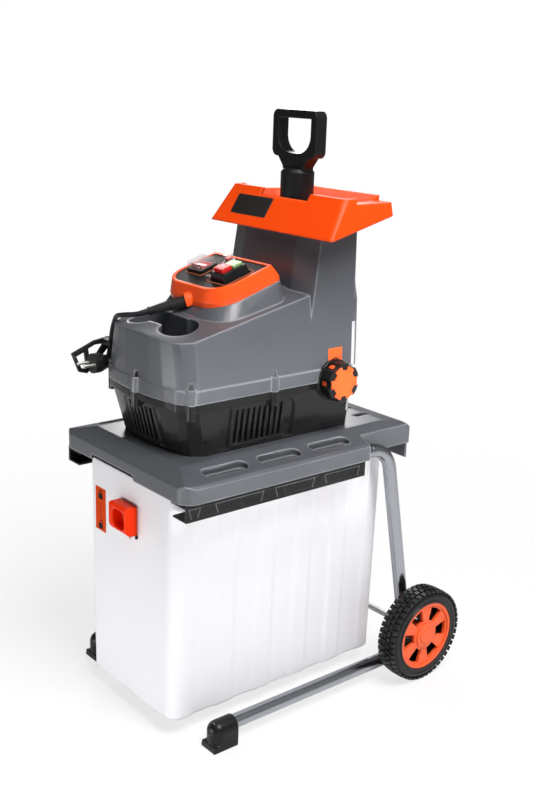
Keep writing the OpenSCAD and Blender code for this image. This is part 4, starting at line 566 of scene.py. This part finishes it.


# The ribs' pale grey colour and their bright edges are a painted highlight on the black rail.
rail_rib_highlight = moulded(
    "rail_rib_highlight", (0.085, 0.085, 0.088), (0.13, 0.13, 0.135), (0.45, 0.45, 0.46), (0.28, 0.38),
    corner=0.0004, wear_and_highlight=0.5, shine=0.4)
rail_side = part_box("rail_right")[1][0]
rib_low, rib_high, rib_lean, rib_width = 0.3735, 0.3885, 0.0045, 0.0011
rib_sunk, rib_proud = -0.0012, 0.0004
rail_panels = ((-0.2560, -0.2350), (-0.2100, -0.1220), (-0.1010, -0.0230), (-0.0040, 0.0700))
for name, side in both_sides:
    ribs = bmesh.new()
    rib_spot = sign_frame((side * rail_side, 0, 0), (0, side, 0), (0, 0, 1))
    for front, rear in (sorted((side * a, side * b)) for a, b in rail_panels):
        for outline in (
                [(front + rib_lean, rib_low), (front + rib_lean + rib_width, rib_low),
                 (front + rib_width, rib_high), (front, rib_high)],
                [(rear - rib_width - rib_lean, rib_low), (rear - rib_lean, rib_low),
                 (rear, rib_high), (rear - rib_width, rib_high)],
                [(front, rib_high - rib_width), (rear, rib_high - rib_width),
                 (rear, rib_high), (front, rib_high)]):
            raise_sign(ribs, rib_spot, outline, rib_sunk, rib_proud)
    add_sign("rail_ribs_" + name, ribs, "base", "black_plastic", rail_rib_highlight)

# Chip bin: a thin translucent white polypropylene tub with upright flutes, and the glossy red
# slider that locks it in place.
bin_white = moulded(
    "bin_white", (0.87, 0.865, 0.89), (0.83, 0.825, 0.855), (0.86, 0.86, 0.88), (0.34, 0.44),
    grain=(500, 0.00006), corner=0.006, wear_and_highlight=0.2)
lock_red = moulded(
    "lock_red", (0.90, 0.034, 0.001), (0.84, 0.028, 0.001), (0.98, 0.12, 0.02), (0.20, 0.265),
    corner=0.003, wear_and_highlight=0.2, shine=0.12)
dress(bin_white, "bin")
lock_low, lock_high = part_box("bin_lock")
lock_half, lock_front, lock_foot = lock_high[0], lock_low[1], lock_low[2]
lock_top, lock_back = 0.347, -0.2503
foot_round, top_round = 0.014, 0.004
lock_side = ([(lock_back, lock_foot)]
             + [(lock_front + foot_round + foot_round * math.cos(a),
                 lock_foot + foot_round + foot_round * math.sin(a))
                for a in map(math.radians, range(270, 179, -15))]
             + [(lock_front + top_round + top_round * math.cos(a),
                 lock_top - top_round + top_round * math.sin(a))
                for a in map(math.radians, (180, 150, 120, 90))] + [(lock_back, lock_top)])


def prism_mesh(name, outline, low, high, place):
    form = bmesh.new()
    lower = [form.verts.new(place(u, v, low)) for u, v in outline]
    upper = [form.verts.new(place(u, v, high)) for u, v in outline]
    form.faces.new(lower)
    form.faces.new(upper[::-1])
    for i in range(len(outline)):
        j = (i + 1) % len(outline)
        form.faces.new((lower[i], upper[i], upper[j], lower[j]))
    return solid_mesh(name, form)


pocket_x, pocket_z, pocket_round, pocket_depth = 0.0035, 0.325, 0.009, 0.017
flat_across, flat_up, overlap = 0.007, 0.006, 0.002
pocket_line = [(pocket_x + sx * flat_across + pocket_round * math.cos(a),
                pocket_z + sz * flat_up + pocket_round * math.sin(a))
               for sx, sz, first in ((1, 1, 0), (-1, 1, 90), (-1, -1, 180), (1, -1, 270))
               for a in (math.radians(first + d) for d in range(0, 91, 15))]
lock_rough, lock_cut = (bpy.data.objects.new(mesh.name, mesh) for mesh in (
    prism_mesh("lock_rough", lock_side, -lock_half, lock_half, lambda u, v, w: (w, u, v)),
    prism_mesh("lock_cut", pocket_line, lock_front - overlap, lock_front + pocket_depth,
               lambda u, v, w: (u, w, v))))
for part in (lock_rough, lock_cut):
    bpy.context.scene.collection.objects.link(part)
pocket = lock_rough.modifiers.new("pocket", "BOOLEAN")
pocket.object, pocket.operation, pocket.solver = lock_cut, "DIFFERENCE", "EXACT"
rounding = lock_rough.modifiers.new("rounding", "BEVEL")
rounding.width, rounding.segments = 0.0022, 4
rounding.limit_method, rounding.angle_limit = "ANGLE", math.radians(40)
lock_seen = lock_rough.evaluated_get(bpy.context.evaluated_depsgraph_get())
lock_form = bmesh.new()
lock_form.from_mesh(bpy.data.meshes.new_from_object(lock_seen))
for part in (lock_rough, lock_cut):
    bpy.data.objects.remove(part)
for face in lock_form.faces:
    face.smooth = True
slider_faces = len(lock_form.faces)
tongue_half, tongue_foot, tongue_corner, hook_depth = 0.007, 0.310, 0.0006, 0.003
for tongue_front, tongue_top in ((lock_back - overlap, 0.330),
                                 (lock_high[1] - hook_depth, lock_high[2])):
    soft_block(lock_form, (-tongue_half, tongue_front, tongue_foot),
               (tongue_half, lock_high[1], tongue_top), 0.0, tongue_corner)
for face in list(lock_form.faces)[slider_faces:]:
    face.material_index = 1
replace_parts(add_solid("lock_slider", lock_form, "lock", "red_plastic", lock_red, black_satin),
            "bin_lock")


# Bin sign: an orange foil strip beside the lock with plain shut and open padlocks and a dotted
# line between them, and two black claw tips that show under the lock.
def round_outline(width, height, corner, place=(0, 0), steps=6):
    spots = []
    for k, (sx, sy) in enumerate(((1, 1), (-1, 1), (-1, -1), (1, -1))):
        for i in range(steps + 1):
            angle = math.pi / 2 * (k + i / steps)
            spots.append((place[0] + sx * (width / 2 - corner) + corner * math.cos(angle),
                          place[1] + sy * (height / 2 - corner) + corner * math.sin(angle)))
    return spots


def arc_outline(radius, width, first, last, place=(0, 0), steps=24):
    turns = [math.radians(first + (last - first) * i / steps) for i in range(steps + 1)]
    return [(place[0] + r * math.cos(a), place[1] + r * math.sin(a))
            for r, line in ((radius + width / 2, turns), (radius - width / 2, turns[::-1]))
            for a in line]


sign_orange = moulded(
    "sign_orange", (0.68, 0.058, 0.001), (0.63, 0.050, 0.001), (0.8, 0.2, 0.06), (0.5, 0.6),
    corner=0.0003, wear_and_highlight=0.1, shine=0.04)
sign_ink = moulded(
    "sign_ink", (0.006, 0.004, 0.003), (0.010, 0.008, 0.006), (0.05, 0.05, 0.05), (0.4, 0.5),
    corner=0.0001, wear_and_highlight=0.0, shine=0.06)
bin_sign_x, foil_high, ink_low, ink_high = -0.0808, 0.00025, 0.0002, 0.00045
bin_sign_spot = sign_frame((bin_sign_x, -0.2501, 0.3093), (1, 0, 0), (0, 0, 1))
bin_sign = bmesh.new()
raise_sign(bin_sign, bin_sign_spot, round_outline(0.0295, 0.0715, 0.0012), 0.0, foil_high)
for height, reach in ((0.0245, 180), (-0.0250, 140)):
    for outline in (round_outline(0.0115, 0.0095, 0.0012, (0, height - 0.003)),
                    arc_outline(0.0038, 0.0022, 0, reach, (0, height + 0.0024))):
        raise_sign(bin_sign, bin_sign_spot, outline, ink_low, ink_high, 1)
add_sign("bin_sign", bin_sign, "bin", "orange_plastic", sign_orange, sign_ink)

dot_tree, dot_in, dot_out, dot_keys = geometry_tree(
    "sign_dots", [("Dot Radius", value_kind), ("Dot Height", value_kind)])
dot_disc = add_node(dot_tree, "GeometryNodeMeshCylinder", {"Vertices": 16})
dot_set = add_node(dot_tree, "GeometryNodeInstanceOnPoints", {"Rotation": (math.pi / 2, 0, 0)})
wire(dot_tree, (dot_in, "Dot Radius", dot_disc, "Radius"), (dot_in, "Dot Height", dot_disc, "Depth"),
     (dot_in, "Geometry", dot_set, "Points"), (dot_disc, "Mesh", dot_set, "Instance"))
finish_tree(dot_tree, dot_set, dot_out, sign_ink)
dot_face, top_dot, dot_pitch = -0.25042, 0.3185, 0.0042
grow("bin_sign_dots", dot_tree, dot_keys, {"Dot Radius": 0.0009, "Dot Height": 0.0003},
     [(bin_sign_x, dot_face, top_dot - dot_pitch * i) for i in range(6)],
     "bin", "orange_plastic", sign_ink)
claws = bmesh.new()
claw_back, claw_z, claw_length = -0.2504, 0.2985, 0.003
for x in (0.0095, 0.0225):
    claw_spot = sign_frame((x, claw_back, claw_z), (1, 0, 0), (0, 0, 1))
    raise_sign(claws, claw_spot, round_outline(0.0032, 0.0056, 0.0008), 0.0, claw_length)
add_sign("lock_claws", claws, "lock", "black_plastic", black_satin)

# Housing: a gloss black lower tub with pierced vents and a satin grey upper shell with the
# hopper column, screwed together through seven posts round the parting line.
housing_black = moulded(
    "housing_black", (0.006, 0.006, 0.0063), (0.009, 0.009, 0.0094), (0.10, 0.10, 0.10),
    (0.13, 0.22), corner=0.003, shine=0.26)
# The high edge setting with a pale edge colour paints highlight lines along the housing's corners,
# beyond real wear.
housing_grey = moulded(
    "housing_grey", (0.066, 0.070, 0.080), (0.084, 0.089, 0.100), (0.46, 0.47, 0.50), (0.285, 0.36),
    grain=(700, 0.00008), corner=0.005, wear_and_highlight=0.62, shine=0.6)
dress(housing_black, "lower_housing")
dress(housing_grey, "upper_housing")
dress(bright_steel, "housing_screws")

# Cross recesses: the driver slots pressed into the heads of the seven housing screws, which sit
# sunk in the posts.
cross_tree, cross_in, cross_out, cross_keys = geometry_tree(
    "screw_crosses", [("Bar Length", value_kind), ("Bar Width", value_kind)])
cross_both = add_node(cross_tree, "GeometryNodeJoinGeometry")
cross_set = add_node(cross_tree, "GeometryNodeInstanceOnPoints")
cross_depth, screw_height = 0.0004, 0.5281
for long_axis, short_axis in ("XY", "YX"):
    cross_size = add_node(cross_tree, "ShaderNodeCombineXYZ", {"Z": cross_depth})
    cross_bar = add_node(cross_tree, "GeometryNodeMeshCube")
    wire(cross_tree, (cross_in, "Bar Length", cross_size, long_axis),
         (cross_in, "Bar Width", cross_size, short_axis), (cross_size, "Vector", cross_bar, "Size"),
         (cross_bar, "Mesh", cross_both, "Geometry"))
wire(cross_tree, (cross_in, "Geometry", cross_set, "Points"),
     (cross_both, "Geometry", cross_set, "Instance"))
finish_tree(cross_tree, cross_set, cross_out, black_satin)
post_spots = ((0, -238), (102.5, -213), (-102.5, -213), (108.5, -66), (-108.5, -66), (70, 99),
              (-70, 99))
grow("post_screw_crosses", cross_tree, cross_keys, {"Bar Length": 0.0046, "Bar Width": 0.0010},
     [(x / 1000, y / 1000, screw_height) for x, y in post_spots], "base", "steel", black_satin)

# Edge strip: a bare pale strip down the rear right edge of the housing, in two lengths
# laid on its walls above and below the parting line.
strip_pale = moulded(
    "strip_pale", (0.62, 0.62, 0.64), (0.56, 0.56, 0.58), (0.7, 0.7, 0.7), (0.35, 0.45),
    corner=0.0002, wear_and_highlight=0.0)
strip_steps, strip_depths, strip_lifts = 24, (0.0895, 0.0925, 0.0955), (0.0003, -0.0004)
beside_x, inward = 0.3, Vector((-1, 0, 0))
for name, wall, strip_foot, strip_top in (("edge_strip_upper", "upper_housing", 0.5300, 0.6040),
                                          ("edge_strip_lower", "lower_housing", 0.4600, 0.4980)):
    strip = bmesh.new()
    rows = []
    for i in range(strip_steps + 1):
        height = strip_foot + (strip_top - strip_foot) * i / strip_steps
        hits = [nodes[wall].ray_cast(Vector((beside_x, depth, height)), inward)
                for depth in strip_depths]
        rows.append([[strip.verts.new(spot + facing * lift) for lift in strip_lifts]
                     for _, spot, facing, _ in hits])
    for low, high in zip(rows, rows[1:]):
        for j in range(2):
            strip.faces.new((low[j][0], low[j + 1][0], high[j + 1][0], high[j][0]))
            strip.faces.new((low[j + 1][1], low[j][1], high[j][1], high[j + 1][1]))
        for j in (0, 2):
            strip.faces.new((low[j][0], high[j][0], high[j][1], low[j][1]))
    for row in (rows[0], rows[-1]):
        for j in range(2):
            strip.faces.new((row[j][0], row[j + 1][0], row[j + 1][1], row[j][1]))
    add_solid(name, strip, "base", "clear_plastic", strip_pale)

# Hopper: a flared orange moulding on top of the column, with the black throat and the push
# stick that lives in it, and a bare black plate with a turned edge on its front.
hopper_orange = moulded(
    "hopper_orange", (0.97, 0.076, 0.003), (0.92, 0.066, 0.002), (1.0, 0.20, 0.05), (0.36, 0.48),
    grain=(600, 0.0001), corner=0.0035, shine=0.24)
dress(hopper_orange, "hopper")
dress(black_satin, "feed_chute", "pusher")
plate_edge = moulded(
    "plate_edge", (0.034, 0.033, 0.032), (0.045, 0.044, 0.042), (0.2, 0.2, 0.2), (0.35, 0.45),
    corner=0.0002)
plate_face = moulded(
    "plate_face", (0.014, 0.013, 0.012), (0.024, 0.022, 0.021), (0.08, 0.08, 0.08), (0.30, 0.42),
    corner=0.0002, wear_and_highlight=0.1, shine=0.3)
hopper_slope = (0, 0.5341, 0.8454)
plate_spot = sign_frame((-0.061, 0.01735, 0.76720), (1, 0, 0), hopper_slope)
sunk, edge_high, face_low, face_high = -0.0006, 0.00035, 0.0003, 0.0006
plate = bmesh.new()
raise_sign(plate, plate_spot, round_outline(0.086, 0.034, 0.0025), sunk, edge_high)
raise_sign(plate, plate_spot, round_outline(0.0838, 0.0318, 0.0018), face_low, face_high, 1)
add_sign("bare_plate", plate, "base", "gloss_black", plate_edge, plate_face)

# Cutting unit and drive, inside: die-cast frame and gearbox, hardened toothed drum, steel gears,
# painted motor can and wound stator.
cast_alloy = moulded(
    "cast_alloy", (0.48, 0.49, 0.50), (0.38, 0.39, 0.40), (0.7, 0.7, 0.72), (0.38, 0.55),
    grain=(400, 0.0002), corner=0.001, shine=0.5, metal=1.0)
drum_steel = moulded(
    "drum_steel", (0.22, 0.22, 0.23), (0.15, 0.15, 0.16), (0.6, 0.6, 0.62), (0.3, 0.5),
    grain=(500, 0.00015), corner=0.001, wear_and_highlight=0.6, shine=0.5, metal=1.0)
motor_paint = moulded(
    "motor_paint", (0.03, 0.034, 0.04), (0.045, 0.05, 0.056), (0.2, 0.2, 0.2), (0.35, 0.5))
winding_copper = moulded(
    "winding_copper", (0.55, 0.21, 0.08), (0.42, 0.15, 0.05), (0.8, 0.42, 0.22), (0.3, 0.45),
    grain=(1200, 0.0002), corner=0.0006, shine=0.5, metal=0.8)
dress(cast_alloy, "cutter_frame", "counter_plate", "gearbox_case", "gearbox_cover")
dress(drum_steel, "cutting_drum", "output_gear", "intermediate_gear")
dress(bright_steel, "drum_shaft", "drum_bearings", "adjusting_screw", "motor_rotor")
dress(motor_paint, "motor_can")
dress(winding_copper, "motor_stator")
dress(black_satin, "cooling_fan", "capacitor")

# Adjusting knob: a black scalloped grip with an orange star face let into it, whose arms come
# through the grip's rim as six small orange blocks.
knob_orange = moulded(
    "knob_orange", (0.95, 0.115, 0.020), (0.90, 0.100, 0.016), (1.0, 0.28, 0.10), (0.34, 0.46),
    corner=0.0014)
dress(black_satin, "knob_grip")
cap_low, cap_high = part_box("knob_cap")
knob_centre = Vector((cap_high[0], (cap_low[1] + cap_high[1]) / 2, (cap_low[2] + cap_high[2]) / 2))
star_arm = ((20.6, -17), (23.2, -14), (24.0, -16.5), (26.4, -15), (26.6, -5), (25.8, -4), (25.8, 4),
            (26.6, 5), (26.4, 15), (24.0, 16.5), (23.2, 14), (20.6, 17), (20.4, 24), (20.4, 30),
            (20.4, 36))
arm_turns = [60 * arm for arm in range(6)]
star_line = [(r / 1000 * math.cos(math.radians(arm + turn)),
              r / 1000 * math.sin(math.radians(arm + turn)))
             for arm in arm_turns for r, turn in star_arm]
star_spot = sign_frame(knob_centre, (0, 1, 0), (0, 0, 1))
star = bmesh.new()
star_back, star_shoulder, star_face, face_share = -0.0022, -0.0003, -0.0005, 0.94
raise_sign(star, star_spot, star_line, star_back, star_shoulder)
raise_sign(star, star_spot, [(face_share * x, face_share * y) for x, y in star_line], star_face, 0.0)
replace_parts(add_sign("knob_star", star, "knob", "orange_plastic", knob_orange), "knob_cap")
insert_x, insert_radius = 0.1180, 0.0270
grow("knob_inserts", lug_tree, lug_keys,
     {"Lug Width": 0.0085, "Lug Length": 0.0070, "Lug Height": 0.0024, "Centre": tuple(knob_centre)},
     [(insert_x, knob_centre.y + insert_radius * math.cos(a),
       knob_centre.z + insert_radius * math.sin(a))
      for a in map(math.radians, arm_turns)], "knob", "orange_plastic", knob_orange)

# Knob sign: a small orange foil stuck above the knob, most of it bare, with a plain arc that
# has an arrow tip at each end.
knob_sign_spot = sign_frame((0.10692, 0.0554, 0.5515), (0, 1, 0), (-0.038, 0, 0.999))
knob_sign = bmesh.new()
raise_sign(knob_sign, knob_sign_spot, round_outline(0.0282, 0.0310, 0.001), sunk, foil_high)
arrow_x, arrow_half, arrow_top, arrow_tip = 0.0074, 0.0017, -0.0040, -0.0066
for outline in (arc_outline(0.0085, 0.0013, 30, 150, (0, -0.0085)),
                *([(x - arrow_half, arrow_top), (x, arrow_tip), (x + arrow_half, arrow_top)]
                  for x in (-arrow_x, arrow_x))):
    raise_sign(knob_sign, knob_sign_spot, outline, ink_low, ink_high, 1)
add_sign("knob_sign", knob_sign, "base", "orange_plastic", knob_orange, sign_ink)

# Control panel: an orange bezel round a black inclined panel, with the switch block, a rocker
# under a clear boot and a small reset button under a clear cap.
panel_black = moulded(
    "panel_black", (0.007, 0.006, 0.0057), (0.012, 0.0105, 0.010), (0.08, 0.08, 0.08), (0.38, 0.5),
    grain=(1600, 0.0001), corner=0.0006, wear_and_highlight=0.15, shine=0.2)
button_red = moulded(
    "button_red", (0.72, 0.020, 0.020), (0.62, 0.014, 0.014), (0.95, 0.2, 0.18), (0.18, 0.265),
    corner=0.0014)
button_green = moulded(
    "button_green", (0.30, 0.46, 0.20), (0.25, 0.41, 0.16), (0.6, 0.75, 0.5), (0.18, 0.265),
    corner=0.0014)
clear_boot = bpy.data.materials.new("clear_boot")
clear_boot.use_nodes = True
clear_tree = clear_boot.node_tree
clear_body = clear_tree.nodes["Principled BSDF"]
set_inputs(clear_body, {"Base Color": (0.62, 0.58, 0.58, 1.0)})
clear_edge = add_node(clear_tree, "ShaderNodeLayerWeight", {"Blend": 0.4})
clear_share = add_node(clear_tree, "ShaderNodeMapRange", {"To Min": 0.08, "To Max": 0.42})
clear_cloud = add_node(clear_tree, "ShaderNodeTexNoise", {"Scale": 40})
clear_place = add_node(clear_tree, "ShaderNodeTexCoord")
clear_rough = add_node(clear_tree, "ShaderNodeMapRange", {"To Min": 0.03, "To Max": 0.07})
wire(clear_tree, (clear_edge, "Facing", clear_share, "Value"),
     (clear_share, "Result", clear_body, "Alpha"), (clear_place, "Object", clear_cloud, "Vector"),
     (clear_cloud, "Fac", clear_rough, "Value"), (clear_rough, "Result", clear_body, "Roughness"))
bezel_orange = moulded(
    "bezel_orange", (0.98, 0.090, 0.006), (0.93, 0.078, 0.004), (1.0, 0.26, 0.08), (0.285, 0.36),
    grain=(600, 0.00006), corner=0.0018, wear_and_highlight=0.35, shine=0.55)
dress(bezel_orange, "control_bezel")
dress(panel_black, "control_panel", "rocker_frame")
dress(housing_black, "switch_box")
dress(button_red, "stop_button", "direction_rocker", "reset_button")
dress(button_green, "start_button")
dress(clear_boot, "rocker_cover", "reset_cap")

# Panel print: thin orange lines round the switch block and the rocker, a few plain pale marks
# between them, and the on and off strokes on the two buttons.
line_orange = moulded(
    "line_orange", (0.85, 0.22, 0.08), (0.8, 0.2, 0.07), (0.9, 0.4, 0.2), (0.35, 0.45),
    corner=0.0001, wear_and_highlight=0.0)
mark_pale = moulded(
    "mark_pale", (0.72, 0.72, 0.70), (0.66, 0.66, 0.64), (0.8, 0.8, 0.8), (0.4, 0.5), corner=0.0001,
    wear_and_highlight=0.0)
panel_tilt = math.radians(18)
panel_up = Vector((0, math.cos(panel_tilt), math.sin(panel_tilt)))
panel_out = Vector((0, -math.sin(panel_tilt), math.cos(panel_tilt)))
panel_origin = Vector((0, -0.088, 0.656594))


def panel_spot(x, y, z):
    centre = panel_origin + Vector((x, 0, 0)) + panel_up * y + panel_out * z
    return sign_frame(centre, (1, 0, 0), panel_up)


outline_tree, outline_in, outline_out, outline_keys = geometry_tree(
    "panel_lines", [(label, value_kind) for label in ("Width", "Length", "Corner", "Line", "Height")])
outline_box = add_node(outline_tree, "GeometryNodeCurvePrimitiveQuadrilateral")
outline_bend = add_node(outline_tree, "GeometryNodeFilletCurve", {"Count": 6}, mode="POLY")
outline_line = add_node(outline_tree, "GeometryNodeCurvePrimitiveQuadrilateral")
outline_sweep = add_node(outline_tree, "GeometryNodeCurveToMesh", {"Fill Caps": True})
outline_set = add_node(outline_tree, "GeometryNodeInstanceOnPoints", {"Rotation": (panel_tilt, 0, 0)})
wire(outline_tree, (outline_in, "Width", outline_box, "Width"),
     (outline_in, "Length", outline_box, "Height"), (outline_box, "Curve", outline_bend, "Curve"),
     (outline_in, "Corner", outline_bend, "Radius"), (outline_in, "Line", outline_line, "Width"),
     (outline_in, "Height", outline_line, "Height"), (outline_bend, "Curve", outline_sweep, "Curve"),
     (outline_line, "Curve", outline_sweep, "Profile Curve"),
     (outline_in, "Geometry", outline_set, "Points"), (outline_sweep, "Mesh", outline_set, "Instance"))
finish_tree(outline_tree, outline_set, outline_out, line_orange)
buttons_x, line_height = 0.035, 0.0251
for name, x, y, width, length, corner in (("switch_outline", buttons_x, -0.001, 0.048, 0.056, 0.005),
                                          ("rocker_outline", -0.034, 0.0, 0.042, 0.040, 0.004)):
    grow(name, outline_tree, outline_keys,
         {"Width": width, "Length": length, "Corner": corner, "Line": 0.0008, "Height": 0.0005},
         [panel_spot(x, y, line_height).translation], "base", "orange_plastic", line_orange)

mark_high, stroke_half = 0.0003, 0.0002
panel_marks = bmesh.new()
marks_spot = panel_spot(0.0015, -0.006, 0.025)
for outline in (arc_outline(0.0034, 0.0011, -120, 150, (-0.0052, 0.004)),
                arc_outline(0.0034, 0.0011, 60, 330, (0.0052, 0.004)),
                *(round_outline(0.0042, 0.0012, 0.0004, (x, -0.0065)) for x in (-0.006, 0.0, 0.006)),
                round_outline(0.0160, 0.0011, 0.0004, (0, -0.0100))):
    raise_sign(panel_marks, marks_spot, outline, 0.0, mark_high)
add_sign("panel_marks", panel_marks, "base", "black_plastic", mark_pale)
for name, body, slot, spot, outline in (
        ("start_stroke", "start", "green_plastic", panel_spot(buttons_x, 0.009, 0.0415),
         round_outline(0.0016, 0.0080, 0.0006)),
        ("stop_ring", "stop", "red_plastic", panel_spot(buttons_x, -0.011, 0.0440),
         arc_outline(0.0036, 0.0013, 0, 359.9, steps=40))):
    button_mark = bmesh.new()
    raise_sign(button_mark, spot, outline, -stroke_half, stroke_half)
    add_sign(name, button_mark, body, slot, mark_pale)
